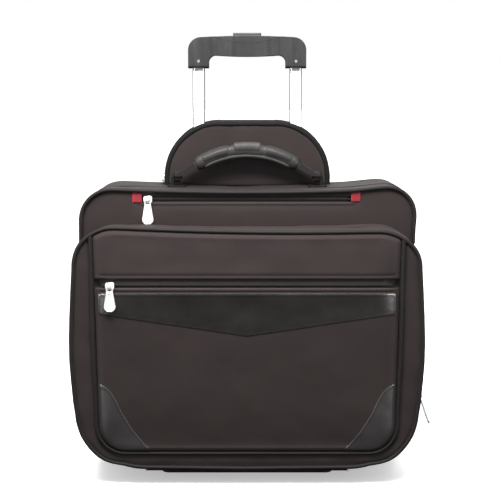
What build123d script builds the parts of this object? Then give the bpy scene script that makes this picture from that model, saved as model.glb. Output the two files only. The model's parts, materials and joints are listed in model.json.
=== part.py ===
"""Rolling laptop case: a soft case on two wheels with a two-stage pull handle.

Millimetres. X is the width, -Y the front, +Z up. The origin is on the floor, in the
case's middle plane, under the seam between the main compartment's lid and its rear half.

From front to back the case is an organizer lid, an organizer bay, the main lid, the
main bay with a laptop sleeve, a divider board, the trolley bay and the back panel.
"""

import os
from math import cos, radians, sin

from build123d import *

# ---------------------------------------------------------------- driving dimensions
# Outlines seen from the front: half widths, heights over the floor, corner radii.
CASE = dict(half_w=212, top_half_w=209, bottom=11, top=367, dip=6, r_bottom=62, r_top=40)
POCKET = dict(half_w=215, top_half_w=210, bottom=14.4, top=322, dip=5, r_bottom=88, r_top=49)
PANEL = dict(half_w=182, top_half_w=187, bottom=43, top=319, dip=5, r_bottom=33, r_top=4)
DOME = dict(half_w=109, top_half_w=108, bottom=340, top=446, dip=-1, r_bottom=2, r_top=72)

# Depth planes.
Y_PANEL_FACE = -98
Y_PANEL_BACK = -87
Y_POCKET_EDGE = -84
Y_ORG_FLOOR = -83
Y_ORG_LID_EDGE = -64
Y_ORG_COIL = -60.4
Y_ORG_RIM = -55
Y_MAIN_FACE = -36
Y_MAIN_BACK = -33
Y_MAIN_LID_EDGE = -2
Y_MAIN_COIL = 1.6
Y_CASE_RIM = 7
Y_SLEEVE = 14
Y_BOARD = 47
Y_BOARD_BACK = 50
Y_COVER_BACK = 53
Y_TUBES = 74
Y_BACK_INNER = 92
Y_BACK = 95

WALL = 3.0  # fabric and foam of every gusset
GAP = 0.4  # between pieces that move past each other
ORG_SPLIT_Z = 97.5  # below it the organizer's side walls stay with the main lid
MAIN_SPLIT_Z = 95.6  # top of the base tray's side walls
MAIN_PIPING_Z = 296  # below it the organizer covers the main lid's edge
PANEL_LAP = 6  # the front panel's seam allowance on the border
PIPING_R = 2.4
PIPING_INSET = 1.4

# Zip: a coil band in the middle of the fabric, with the slider round it.
COIL_T = 2.6
COIL_W = 5.4
COIL_V0 = -2.4  # the band's free edge, from the slider's middle
ZIP_SLOT_W = 12.6
PLATE_N = 1.9  # from the coil's middle plane to the slider's plates
PLATE_T = 1.2
SLIDER_L = 14
SLIDER_W = 11
PULL_AXIS_N = 4.5
PULL_T = 1.8
PULL_TOP_HALF = 5.3
PULL_FOOT_HALF = 7.4
PULL_LENGTH = 31
SIDE_PULL_LENGTH = 37

TOP_ZIP_Z = 351.2
TOP_ZIP_HALF = 131.5
TOP_SLIDER_X = -124
FRONT_ZIP_Z = 251
FRONT_ZIP_HALF = 176
FRONT_SLIDER_X = -166
SIDE_SLIDER_LOW_Z = 105.5
SIDE_SLIDER_HIGH_Z = 121
SIDE_PULL_TILT = 19
MAIN_SLIDER_Z = 118
GARAGE_SLIDER_Z = 372

# Trim band and corner patches on the front panel.
BAND_T = 0.8
BAND_TOP = 242.5
BAND_SIDE = 214
BAND_POINT = 187
PATCH_TOP = 134
PATCH_FOOT = 130
TAB_X = 139.2
TAB_W = 14.6
TAB_H = 16.6
TAB_Z = 351
TAB_T = 1.0

# Wheels.
WHEEL_X = 165
WHEEL_Y = 70
WHEEL_R = 32
WHEEL_W = 24
HUB_R = 23
HUB_W = 22
BEARING_R = 11
BEARING_W = 7
BEARING_BORE = 4.0
AXLE_R = 3.95
WELL_R = 36
WELL_W = 28
CAVITY_W = 40  # the hollow outside the well, open to the case's side
HOUSING_X = 144
HOUSING_Y = 31
HOUSING_TOP = 72
HOUSING_CUT_W = 80  # wide enough to reach past the case's side
CUT_MARGIN = 1.0

# Trolley.
TUBE_X = 64
OUTER = (22.4, 16.4, 1.4)  # across X, across Y, wall
MIDDLE = (19.0, 13.0, 1.2)
UPPER = (16.0, 10.0, 1.0)
TUBE_CORNER = 3.0
OUTER_Z = (40, 361)
MIDDLE_Z = (44, 376)
UPPER_Z = (180, 536)
PLUG_H = 8
BASE_Z = (14, 40)
BEZEL_TOP = 367
BEZEL_W = 178
BEZEL_H = 10
BEZEL_ROOM = 1.2  # round each middle tube
BEZEL_COVER_W = 84  # the plate between the bezel's two tube collars
NOTCH_W = 158  # the opening in the case's top that the bezel covers
NOTCH_FRONT = 62
NOTCH_H = 40
COLLAR_BOTTOM = 367.6
GRIP_W = 155
GRIP_LEG_W = 27
GRIP_BOTTOM = 516
GRIP_TOP = 558
GRIP_BAR_BOTTOM = 532
GRIP_D = 26
BUTTON_W = 37
BUTTON_D = 13
BUTTON_TRAVEL = 4
GARAGE_MOUTH = 164

# Carry handle.
HANDLE_Y = 28
HANDLE_HALF = 67
HANDLE_END_Z = 391
HANDLE_TOP_Z = 411
HANDLE_T = 22
HANDLE_D = 24
STRAP_W = 20
EYE_X = 90
EYE_Z = 375
EYE_R = 7
EYE_HALF_L = 4
HANDLE_PIN_R = 2.5

SKID = (220, 54)
SKID_Y = -13

os.makedirs("parts", exist_ok=True)


# ---------------------------------------------------------------- helpers
def front_of(y):
    """Plane across the case at depth y, whose normal looks to the front."""
    return Plane.XZ.offset(-y)


def outline(half_w, top_half_w, bottom, top, dip, r_bottom, r_top, inset=0.0):
    """Filled outline of the case seen from the front, moved inwards by inset."""
    wide, narrow = half_w - inset, top_half_w - inset
    low, high = bottom + inset, top - inset
    with BuildSketch() as shape:
        with BuildLine():
            Line((-wide, low), (wide, low))
            Line((wide, low), (narrow, high))
            ThreePointArc((narrow, high), (0, high - dip), (-narrow, high))
            Line((-narrow, high), (-wide, low))
        make_face()
        fillet(shape.vertices().group_by(Axis.Y)[0], max(r_bottom - inset, 1))
        fillet(shape.vertices().group_by(Axis.Y)[-1], max(r_top - inset, 1))
    return shape.sketch


def outline_wire(spec, inset):
    """The outline's edge as a wire in the sketch plane."""
    return outline(**spec, inset=inset).faces()[0].outer_wire()


def write(piece, label):
    """Labels a finished piece and writes it as its own STEP file."""
    piece.label = label
    export_step(piece, f"parts/{label}.step")


def tube_section(size, wall=0.0):
    """Rounded rectangular tube section, solid or hollow, in the current sketch."""
    wide, deep, thick = size
    RectangleRounded(wide, deep, TUBE_CORNER)
    if wall:
        RectangleRounded(
            wide - 2 * thick, deep - 2 * thick, TUBE_CORNER - thick, mode=Mode.SUBTRACT
        )


def ring(spec, y_front, y_back, wall=WALL, inset=0.0, above=0.0, below=500.0):
    """A gusset: the outline's wall between two depths and two heights."""
    with BuildPart() as wall_ring:
        with BuildSketch(front_of(y_back)):
            add(outline(**spec, inset=inset))
            add(outline(**spec, inset=inset + wall), mode=Mode.SUBTRACT)
            with Locations((0, (above + below) / 2)):
                Rectangle(2 * spec["half_w"] + 10, below - above, mode=Mode.INTERSECT)
        extrude(amount=y_back - y_front)
    return wall_ring.part


def piping(spec, y, inset=PIPING_INSET):
    """A round cord swept along the outline."""
    path = front_of(y) * outline_wire(spec, inset)
    start = Plane(path @ 0, z_dir=path % 0)
    with BuildPart() as cord:
        with BuildSketch(start):
            Circle(PIPING_R)
        sweep(path=path)
    return cord.part


def slider(plane, hangs_across):
    """Zip slider. The plane's X is the zip's direction and its Z points outwards.

    Two plates with a post between them, and a bail that the pull hangs from.
    """
    bail_in, bail_wall, bail_half_w = 2.8, 1.1, 1.8
    top = PLATE_N + PLATE_T
    if hangs_across:
        bail_plane = Plane(plane.origin, x_dir=plane.y_dir, z_dir=plane.x_dir)
    else:
        bail_plane = Plane(plane.origin, x_dir=plane.x_dir, z_dir=-plane.y_dir)
    with BuildPart() as body:
        for n in (PLATE_N, -top):
            with BuildSketch(plane.offset(n)):
                RectangleRounded(SLIDER_L, SLIDER_W, 3.2)
            extrude(amount=PLATE_T)
        with BuildSketch(plane.offset(-PLATE_N)):
            with Locations((0, COIL_V0 - 1.2)):
                Rectangle(6, 1.2)
        extrude(amount=2 * PLATE_N)
        with BuildSketch(bail_plane):
            with Locations((0, top + (bail_in + bail_wall) / 2)):
                Rectangle(bail_in + 2 * bail_wall, bail_in + bail_wall)
            with Locations((0, top + bail_in / 2)):
                Rectangle(bail_in, bail_in, mode=Mode.SUBTRACT)
        extrude(amount=bail_half_w, both=True)
    return body.part


def pull(plane, length=PULL_LENGTH):
    """Zip pull. The plane's X is the hinge axis, and the pull hangs along its -Y."""
    top, window_half, window_foot, pin_r = 0.9, 2.6, -5.2, 0.9
    lip_out, lip_half = 3.4, 4.2
    with BuildPart() as tab:
        with BuildSketch(plane.offset(-PULL_T / 2)) as tab_shape:
            with BuildLine():
                Polyline(
                    (-PULL_TOP_HALF, top),
                    (PULL_TOP_HALF, top),
                    (PULL_FOOT_HALF, -length),
                    (-PULL_FOOT_HALF, -length),
                    close=True,
                )
            make_face()
            fillet(tab_shape.vertices().group_by(Axis.Y)[0], 4.5)
            with Locations((0, (window_foot + top + 1) / 2)):
                Rectangle(2 * window_half, top + 1 - window_foot, mode=Mode.SUBTRACT)
        extrude(amount=PULL_T)
        with BuildSketch(plane.offset(PULL_T / 2)):
            with Locations((0, 0.8 - length)):
                Rectangle(2 * lip_half, 1.6)
        extrude(amount=lip_out)
        with BuildSketch(Plane(plane.origin, x_dir=plane.y_dir, z_dir=plane.x_dir)):
            Circle(pin_r)
        extrude(amount=window_half + 0.4, both=True)
    return tab.part


# ---------------------------------------------------------------- back and base
with BuildPart() as back_panel:
    with BuildSketch(front_of(Y_BACK)):
        add(outline(**CASE))
        add(outline(**DOME))
        for side in (-1, 1):
            with Locations((side * (HOUSING_X + HOUSING_CUT_W / 2), HOUSING_TOP / 2)):
                Rectangle(
                    HOUSING_CUT_W + 2 * CUT_MARGIN, HOUSING_TOP + 2 * CUT_MARGIN, mode=Mode.SUBTRACT
                )
    extrude(amount=Y_BACK - Y_BACK_INNER)
write(back_panel.part, "back_panel")

with BuildPart() as divider_board:
    with BuildSketch(front_of(Y_BOARD_BACK)):
        add(outline(**CASE, inset=WALL))
        for side in (-1, 1):
            with Locations((side * (HOUSING_X + HOUSING_CUT_W / 2), HOUSING_TOP / 2)):
                Rectangle(
                    HOUSING_CUT_W + 2 * CUT_MARGIN, HOUSING_TOP + 2 * CUT_MARGIN, mode=Mode.SUBTRACT
                )
    extrude(amount=Y_BOARD_BACK - Y_BOARD)
write(divider_board.part, "divider_board")

with BuildPart() as rear_gusset:
    add(ring(CASE, Y_CASE_RIM, Y_BACK_INNER, above=MAIN_SPLIT_Z))
    # notch in the top for the tubes, under the bezel
    with BuildSketch(Plane.XY.offset(CASE["top"] - NOTCH_H / 2)):
        with Locations((0, (NOTCH_FRONT + Y_BACK) / 2)):
            Rectangle(NOTCH_W, Y_BACK - NOTCH_FRONT)
    extrude(amount=NOTCH_H, mode=Mode.SUBTRACT)
write(rear_gusset.part, "rear_gusset")

# The tray's floor runs forwards under the organizer, to the fold that the lids turn on.
with BuildPart() as base_tray:
    add(ring(CASE, Y_MAIN_BACK + 0.6, Y_BACK_INNER, below=MAIN_SPLIT_Z))
    with BuildSketch(front_of(Y_MAIN_BACK + 0.6)):
        with Locations((0, CASE["bottom"] + WALL / 2)):
            Rectangle(2 * (POCKET["half_w"] - POCKET["r_bottom"]), WALL)
    extrude(amount=Y_MAIN_BACK + 0.6 - Y_ORG_FLOOR)
    with BuildSketch(front_of(Y_BACK)):
        for side in (-1, 1):
            with Locations((side * (HOUSING_X + HOUSING_CUT_W / 2), HOUSING_TOP / 2)):
                Rectangle(HOUSING_CUT_W, HOUSING_TOP)
    extrude(amount=Y_BACK - HOUSING_Y, mode=Mode.SUBTRACT)
write(base_tray.part, "base_tray")

with BuildPart() as front_skid:
    with BuildSketch(Plane.XY):
        with Locations((0, SKID_Y)):
            RectangleRounded(SKID[0], SKID[1], 10)
    extrude(amount=CASE["bottom"])
    chamfer(front_skid.edges().group_by(Axis.Z)[0], 2)
write(front_skid.part, "front_skid")


# ---------------------------------------------------------------- wheels
def wheel_housing(side):
    """Moulded corner of the base with the wheel's well and the axle's seat."""
    middle = side * WHEEL_X
    corner_x = side * (HOUSING_X + HOUSING_CUT_W / 2)
    cavity_x = side * (WHEEL_X + WELL_W / 2 + WALL + CAVITY_W / 2)
    cavity_height = HOUSING_TOP - CASE["bottom"]
    with BuildPart() as housing:
        with BuildSketch(front_of(Y_BACK)):
            add(outline(**CASE))
            with Locations((corner_x, HOUSING_TOP / 2)):
                Rectangle(HOUSING_CUT_W, HOUSING_TOP, mode=Mode.INTERSECT)
        extrude(amount=Y_BACK - HOUSING_Y)
        with BuildSketch(Plane.YZ.offset(middle - WELL_W / 2)):
            with Locations((WHEEL_Y, WHEEL_R)):
                Circle(WELL_R)
            with Locations((WHEEL_Y, 0)):
                Rectangle(2 * WELL_R, 2 * WHEEL_R)
        extrude(amount=WELL_W, mode=Mode.SUBTRACT)
        with BuildSketch(front_of(Y_BACK - WALL)):
            add(outline(**CASE, inset=WALL))
            with Locations((cavity_x, CASE["bottom"] + cavity_height / 2)):
                Rectangle(CAVITY_W, cavity_height, mode=Mode.INTERSECT)
        extrude(amount=Y_BACK - HOUSING_Y - 2 * WALL, mode=Mode.SUBTRACT)
        with BuildSketch(Plane.YZ.offset(middle - 30)):
            with Locations((WHEEL_Y, WHEEL_R)):
                Circle(BEARING_BORE)
        extrude(amount=60, mode=Mode.SUBTRACT)
    return housing.part


def hub(side):
    """Wheel core with a bearing seat at each end and lightening holes."""
    with BuildPart() as core:
        with BuildSketch(Plane.YZ.offset(side * WHEEL_X)):
            with Locations((WHEEL_Y, WHEEL_R)):
                Circle(HUB_R)
                Circle(6.5, mode=Mode.SUBTRACT)
                with PolarLocations(17, 6):
                    Circle(3, mode=Mode.SUBTRACT)
        extrude(amount=HUB_W / 2, both=True)
        for end in (-1, 1):
            face_x = side * WHEEL_X + end * HUB_W / 2
            with BuildSketch(Plane.YZ.offset(face_x)):
                with Locations((WHEEL_Y, WHEEL_R)):
                    Circle(BEARING_R)
            extrude(amount=-end * BEARING_W, mode=Mode.SUBTRACT)
    return core.part


def bearings(side):
    """The wheel's two ball bearings, each as one closed ring."""
    rings = []
    for end in (-1, 1):
        face_x = side * WHEEL_X + end * HUB_W / 2
        with BuildPart() as race:
            with BuildSketch(Plane.YZ.offset(face_x)):
                with Locations((WHEEL_Y, WHEEL_R)):
                    Circle(BEARING_R)
                    Circle(BEARING_BORE, mode=Mode.SUBTRACT)
            extrude(amount=-end * BEARING_W)
        rings.append(race.part.solids()[0])
    return Compound(children=rings)


def tyre(side):
    """Soft tread ring with rounded shoulders."""
    with BuildPart() as tread:
        with BuildSketch(Plane.YZ.offset(side * WHEEL_X)):
            with Locations((WHEEL_Y, WHEEL_R)):
                Circle(WHEEL_R)
        extrude(amount=WHEEL_W / 2, both=True)
        fillet(tread.edges().filter_by(GeomType.CIRCLE), 5)
        with BuildSketch(Plane.YZ.offset(side * WHEEL_X)):
            with Locations((WHEEL_Y, WHEEL_R)):
                Circle(HUB_R)
        extrude(amount=WHEEL_W, both=True, mode=Mode.SUBTRACT)
    return tread.part


def axle(side):
    """Steel axle bolt with its head in the housing's outer hollow."""
    shank = WELL_W / 2 + 3
    with BuildPart() as bolt:
        with BuildSketch(Plane.YZ.offset(side * WHEEL_X)):
            with Locations((WHEEL_Y, WHEEL_R)):
                Circle(AXLE_R)
        extrude(amount=shank, both=True)
        with BuildSketch(Plane.YZ.offset(side * (WHEEL_X + shank))):
            with Locations((WHEEL_Y, WHEEL_R)):
                RegularPolygon(5.5, 6)
        extrude(amount=side * 4)
    return bolt.part.solids()[0]


write(
    Compound(children=[wheel_housing(-1).solids()[0], wheel_housing(1).solids()[0]]),
    "wheel_housings",
)
for side, word in ((-1, "left"), (1, "right")):
    write(tyre(side), f"tyre_{word}")
    write(hub(side), f"hub_{word}")
    write(bearings(side), f"bearings_{word}")
write(Compound(children=[axle(-1), axle(1)]), "axles")


# ---------------------------------------------------------------- trolley
def tube_pair(size, z_range):
    """Two equal hollow tubes, left and right."""
    tubes = []
    for side in (-1, 1):
        with BuildPart() as tube:
            with BuildSketch(Plane.XY.offset(z_range[0])):
                with Locations((side * TUBE_X, Y_TUBES)):
                    tube_section(size, wall=1)
            extrude(amount=z_range[1] - z_range[0])
        tubes.append(tube.part.solids()[0])
    return Compound(children=tubes)


write(tube_pair(OUTER, OUTER_Z), "outer_tubes")
write(tube_pair(MIDDLE, MIDDLE_Z), "middle_tubes")
write(tube_pair(UPPER, UPPER_Z), "upper_tubes")

with BuildPart() as trolley_base:
    with BuildSketch(Plane.XY.offset(BASE_Z[0])):
        with Locations((0, Y_TUBES)):
            RectangleRounded(2 * TUBE_X + 40, 30, 5)
    extrude(amount=BASE_Z[1] - BASE_Z[0])
    with BuildSketch(Plane.XY.offset(BASE_Z[1])):
        with Locations((-TUBE_X, Y_TUBES), (TUBE_X, Y_TUBES)):
            RectangleRounded(OUTER[0] + 8, OUTER[1] + 8, 5)
            RectangleRounded(OUTER[0] + 0.1, OUTER[1] + 0.1, TUBE_CORNER, mode=Mode.SUBTRACT)
    extrude(amount=18)
write(trolley_base.part, "trolley_base")

# The bezel's underside follows the case's curved top.
with BuildPart() as guide_bezel:
    with BuildSketch(Plane.XY.offset(BEZEL_TOP - BEZEL_H)):
        with Locations((0, Y_TUBES)):
            RectangleRounded(BEZEL_W, 2 * (Y_BACK_INNER - Y_TUBES) - GAP, 8)
        with Locations((-TUBE_X, Y_TUBES), (TUBE_X, Y_TUBES)):
            RectangleRounded(
                MIDDLE[0] + 2 * BEZEL_ROOM,
                MIDDLE[1] + 2 * BEZEL_ROOM,
                TUBE_CORNER + BEZEL_ROOM,
                mode=Mode.SUBTRACT,
            )
    extrude(amount=BEZEL_H)
    with BuildSketch(front_of(Y_BACK)):
        add(outline(**CASE))
    extrude(amount=Y_BACK - Y_BOARD, mode=Mode.SUBTRACT)
    with Locations(
        (-BEZEL_COVER_W / 2, Y_TUBES, BEZEL_TOP), (BEZEL_COVER_W / 2, Y_TUBES, BEZEL_TOP)
    ):
        Box(GAP, 2 * (Y_BACK - Y_TUBES), 3 * BEZEL_H, mode=Mode.SUBTRACT)
write(guide_bezel.part, "guide_bezel")


def tube_sleeves(outer, inner, z_low, z_high):
    """A pair of short sleeves or plugs: outer section less an inner one."""
    sleeves = []
    for side in (-1, 1):
        with BuildPart() as sleeve:
            with BuildSketch(Plane.XY.offset(z_low)):
                with Locations((side * TUBE_X, Y_TUBES)):
                    RectangleRounded(*outer, TUBE_CORNER)
                    RectangleRounded(*inner, min(TUBE_CORNER, inner[1] / 4), mode=Mode.SUBTRACT)
            extrude(amount=z_high - z_low)
        sleeves.append(sleeve.part.solids()[0])
    return Compound(children=sleeves)


# The collar clips over the middle tube's end, and the plug fills the upper tube's foot.
write(
    tube_sleeves(
        (MIDDLE[0] + 5, MIDDLE[1] + 5), (MIDDLE[0], MIDDLE[1]), COLLAR_BOTTOM, MIDDLE_Z[1]
    ),
    "middle_collars",
)
write(
    tube_sleeves((UPPER[0], UPPER[1]), (7, 5), UPPER_Z[0] - PLUG_H, UPPER_Z[0]),
    "tube_plugs",
)


# ---------------------------------------------------------------- grip and its button
def grip_profile(inset=0.0):
    """Side-to-side profile of the grip: a bar with a leg at each end."""
    outer, inner = GRIP_W / 2 - inset, GRIP_W / 2 - GRIP_LEG_W + inset
    low, bar_low = GRIP_BOTTOM, GRIP_BAR_BOTTOM + inset
    shoulder, crown = GRIP_TOP - 3.0 - inset, GRIP_TOP - inset
    with BuildSketch() as shape:
        with BuildLine():
            Line((-inner, low), (-outer, low))
            Line((-outer, low), (-outer, shoulder))
            ThreePointArc((-outer, shoulder), (0, crown), (outer, shoulder))
            Line((outer, shoulder), (outer, low))
            Line((outer, low), (inner, low))
            Line((inner, low), (inner, bar_low + 1.5))
            ThreePointArc((inner, bar_low + 1.5), (0, bar_low - 0.8), (-inner, bar_low + 1.5))
            Line((-inner, bar_low + 1.5), (-inner, low))
        make_face()
        fillet(shape.vertices().group_by(Axis.Y)[-1], 17)
        legs = shape.vertices().filter_by_position(Axis.Y, bar_low, bar_low + 2)
        fillet(legs, 9)
    return shape.sketch


INLAY_HALF = 56
INLAY_LOW = 548
with BuildSketch() as inlay_shape:
    with BuildLine():
        ThreePointArc((-INLAY_HALF, GRIP_TOP + 4), (0, INLAY_LOW), (INLAY_HALF, GRIP_TOP + 4))
        Line((INLAY_HALF, GRIP_TOP + 4), (-INLAY_HALF, GRIP_TOP + 4))
    make_face()

with BuildPart() as grip_lower:
    with BuildSketch(front_of(Y_TUBES + GRIP_D / 2)):
        add(grip_profile())
        add(inlay_shape.sketch, mode=Mode.SUBTRACT)
    extrude(amount=GRIP_D)
    fillet(grip_lower.edges().filter_by(Plane.XZ).filter_by(GeomType.LINE).group_by(Axis.Z)[0], 3)
    with BuildSketch(Plane.XY.offset(GRIP_BOTTOM)):
        with Locations((-TUBE_X, Y_TUBES), (TUBE_X, Y_TUBES)):
            tube_section(UPPER)
    extrude(amount=UPPER_Z[1] - GRIP_BOTTOM, mode=Mode.SUBTRACT)
    # channel for the push rods and the button's return spring
    with BuildSketch(Plane.XY.offset(UPPER_Z[1])):
        with Locations((0, Y_TUBES)):
            Rectangle(2 * TUBE_X + 8, 8)
    extrude(amount=6.4, mode=Mode.SUBTRACT)
    with BuildSketch(Plane.XY.offset(UPPER_Z[1] - 1)):
        with Locations((0, Y_TUBES)):
            Rectangle(BUTTON_W + 2 * GAP, BUTTON_D + 2 * GAP)
    extrude(amount=40, mode=Mode.SUBTRACT)
    with BuildSketch(front_of(Y_TUBES + GRIP_D / 2)):
        with Locations((-TUBE_X, GRIP_BOTTOM + 9), (TUBE_X, GRIP_BOTTOM + 9)):
            Circle(2.0)
    extrude(amount=GRIP_D, mode=Mode.SUBTRACT)
write(grip_lower.part, "grip_lower")

with BuildPart() as grip_upper:
    with BuildSketch(front_of(Y_TUBES + GRIP_D / 2)):
        add(grip_profile())
        add(inlay_shape.sketch, mode=Mode.INTERSECT)
    extrude(amount=GRIP_D)
    with BuildSketch(Plane.XY.offset(UPPER_Z[1])):
        with Locations((0, Y_TUBES)):
            Rectangle(BUTTON_W + 2 * GAP, BUTTON_D + 2 * GAP)
    extrude(amount=40, mode=Mode.SUBTRACT)
write(grip_upper.part, "grip_upper")

screws = []
for side in (-1, 1):
    with BuildPart() as screw:
        with BuildSketch(front_of(Y_TUBES - UPPER[1] / 2 - 0.5)):
            with Locations((side * TUBE_X, GRIP_BOTTOM + 9)):
                Circle(1.9)
        extrude(amount=GRIP_D / 2 - UPPER[1] / 2 - 1)
    screws.append(screw.part.solids()[0])
write(Compound(children=screws), "grip_screws")

BUTTON_TOP = 562
BUTTON_FOOT = 543
with BuildPart() as push_button:
    with BuildSketch(Plane.XY.offset(BUTTON_FOOT)):
        with Locations((0, Y_TUBES)):
            RectangleRounded(BUTTON_W, BUTTON_D, 3)
    extrude(amount=BUTTON_TOP - BUTTON_FOOT)
    fillet(push_button.edges().group_by(Axis.Z)[-1], 1.2)
write(push_button.part, "push_button")

ROD_R = 1.8
CROSSBAR_D = 5
CROSSBAR_T = 1.8
CROSSBAR_PAD_T = 0.6  # under the button's foot
CROSSBAR_BOTTOM = BUTTON_FOOT - CROSSBAR_PAD_T - CROSSBAR_T
ROD_FOOT = UPPER_Z[0] - PLUG_H + BUTTON_TRAVEL + 1
with BuildPart() as push_rods:
    with BuildSketch(Plane.XY.offset(CROSSBAR_BOTTOM)):
        with Locations((0, Y_TUBES)):
            Rectangle(2 * TUBE_X + CROSSBAR_D, CROSSBAR_D)
    extrude(amount=CROSSBAR_T)
    with BuildSketch(Plane.XY.offset(ROD_FOOT)):
        with Locations((-TUBE_X, Y_TUBES), (TUBE_X, Y_TUBES)):
            Circle(ROD_R)
    extrude(amount=CROSSBAR_BOTTOM - ROD_FOOT)
    with BuildSketch(Plane.XY.offset(BUTTON_FOOT - CROSSBAR_PAD_T)):
        with Locations((0, Y_TUBES)):
            Rectangle(BUTTON_W / 2, CROSSBAR_D)
    extrude(amount=CROSSBAR_PAD_T)
write(push_rods.part, "push_rods")

SPRING_R = 2.6
SPRING_PITCH = 2.2
SPRING_WIRE_R = 0.35
SPRING_FOOT = UPPER_Z[1] - 1
with BuildPart() as button_spring:
    spring_height = CROSSBAR_BOTTOM - SPRING_FOOT - 0.2
    spring_path = Helix(SPRING_PITCH, spring_height - 0.9, SPRING_R)
    spring_path = Pos(0, Y_TUBES, SPRING_FOOT + 0.5) * spring_path
    with BuildSketch(Plane(spring_path @ 0, z_dir=spring_path % 0)):
        Circle(SPRING_WIRE_R)
    sweep(path=spring_path, is_frenet=True)
write(button_spring.part, "button_spring")

# ---------------------------------------------------------------- handle garage
# The notch at its left edge is where the zip ends and the slider is parked.
with BuildPart() as garage_cover:
    with BuildSketch(front_of(Y_COVER_BACK)):
        add(outline(**DOME))
        add(outline(**CASE), mode=Mode.SUBTRACT)
        with Locations((-DOME["half_w"], GARAGE_SLIDER_Z - 2)):
            Rectangle(11, SLIDER_L + 6, mode=Mode.SUBTRACT)
    extrude(amount=Y_COVER_BACK - Y_BOARD_BACK)
write(garage_cover.part, "garage_cover")

write(
    ring(DOME, Y_COVER_BACK, Y_COVER_BACK + COIL_W, wall=COIL_T, inset=0.2, above=368),
    "garage_zip_coil",
)

# The garage's side walls leave its top open for the grip.
with BuildPart() as garage_gusset:
    add(ring(DOME, Y_COVER_BACK + COIL_W, Y_BACK_INNER))
    with BuildSketch(front_of(Y_BACK)):
        add(outline(**CASE))
        with Locations((0, DOME["top"] - 50)):
            Rectangle(GARAGE_MOUTH, 120)
    extrude(amount=Y_BACK, mode=Mode.SUBTRACT)
write(garage_gusset.part, "garage_gusset")

# ---------------------------------------------------------------- main bay
SLEEVE = (360, 75, 290)
with BuildPart() as laptop_sleeve:
    with BuildSketch(front_of(Y_BOARD)):
        with Locations((0, (SLEEVE[1] + SLEEVE[2]) / 2)):
            RectangleRounded(SLEEVE[0] + 8, SLEEVE[2] - SLEEVE[1], 12)
    extrude(amount=Y_BOARD - Y_SLEEVE)
    with BuildSketch(front_of(Y_BOARD)):
        with Locations((0, (SLEEVE[1] + SLEEVE[2]) / 2 + 10)):
            Rectangle(SLEEVE[0], SLEEVE[2] - SLEEVE[1] + 12)
    extrude(amount=Y_BOARD - Y_SLEEVE - 4, mode=Mode.SUBTRACT)
write(laptop_sleeve.part, "laptop_sleeve")

write(
    ring(
        CASE,
        Y_MAIN_COIL,
        Y_CASE_RIM,
        wall=COIL_T,
        inset=0.2,
        above=MAIN_SPLIT_Z + GAP,
    ),
    "main_zip_coil",
)


# ---------------------------------------------------------------- main lid
def zip_slot(z, half_length, y_back, depth):
    """The solid to cut away for a straight zip."""
    with BuildPart() as slot:
        with BuildSketch(front_of(y_back)):
            with Locations((0, z + COIL_V0 + COIL_W - ZIP_SLOT_W / 2)):
                Rectangle(2 * half_length, ZIP_SLOT_W)
        extrude(amount=depth)
    return slot.part


def straight_coil(z, half_length, y_middle):
    """Coil band of a straight zip, against the slot's upper edge."""
    with BuildPart() as band:
        with BuildSketch(front_of(y_middle + COIL_T / 2)):
            with Locations((0, z + COIL_V0 + COIL_W / 2)):
                Rectangle(2 * half_length, COIL_W)
        extrude(amount=COIL_T)
    return band.part


MAIN_PANEL = dict(CASE, bottom=POCKET["bottom"])
with BuildPart() as main_panel:
    with BuildSketch(front_of(Y_MAIN_BACK)):
        add(outline(**MAIN_PANEL))
    extrude(amount=Y_MAIN_BACK - Y_MAIN_FACE)
    add(zip_slot(TOP_ZIP_Z, TOP_ZIP_HALF, Y_MAIN_BACK, WALL), mode=Mode.SUBTRACT)
write(main_panel.part, "main_panel")

Y_TOP_COIL = (Y_MAIN_FACE + Y_MAIN_BACK) / 2
write(straight_coil(TOP_ZIP_Z, TOP_ZIP_HALF, Y_TOP_COIL), "top_zip_coil")

write(
    ring(CASE, Y_MAIN_BACK, Y_MAIN_LID_EDGE, above=MAIN_SPLIT_Z + GAP),
    "main_lid_gusset",
)
with BuildPart() as main_piping:
    add(piping(MAIN_PANEL, Y_MAIN_FACE - PIPING_R))
    split(bisect_by=Plane.XY.offset(MAIN_PIPING_Z), keep=Keep.TOP)
write(main_piping.part, "main_piping")

tabs = []
for side in (-1, 1):
    with BuildPart() as tab:
        with BuildSketch(front_of(Y_MAIN_FACE)):
            with Locations((side * TAB_X, TAB_Z)):
                Rectangle(TAB_W, TAB_H)
        extrude(amount=TAB_T)
    tabs.append(tab.part.solids()[0])
write(Compound(children=tabs), "zip_end_tabs")

with BuildPart() as organizer_gusset_rear:
    add(ring(POCKET, Y_ORG_RIM, Y_MAIN_FACE))
    add(ring(POCKET, Y_ORG_FLOOR, Y_ORG_RIM, below=ORG_SPLIT_Z))
write(organizer_gusset_rear.part, "organizer_gusset_rear")

write(
    ring(
        POCKET,
        Y_ORG_COIL,
        Y_ORG_RIM,
        wall=COIL_T,
        inset=0.2,
        above=ORG_SPLIT_Z + GAP,
    ),
    "organizer_zip_coil",
)

# ---------------------------------------------------------------- organizer lid
with BuildPart() as organizer_border:
    add(ring(POCKET, Y_POCKET_EDGE, Y_ORG_LID_EDGE, above=ORG_SPLIT_Z + GAP))
    with BuildSketch(front_of(Y_POCKET_EDGE)):
        add(outline(**POCKET))
        add(outline(**PANEL, inset=PANEL_LAP), mode=Mode.SUBTRACT)
    extrude(amount=Y_POCKET_EDGE - Y_PANEL_BACK)
write(organizer_border.part, "organizer_border")
write(piping(POCKET, Y_PANEL_BACK - PIPING_R), "outer_piping")

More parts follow.
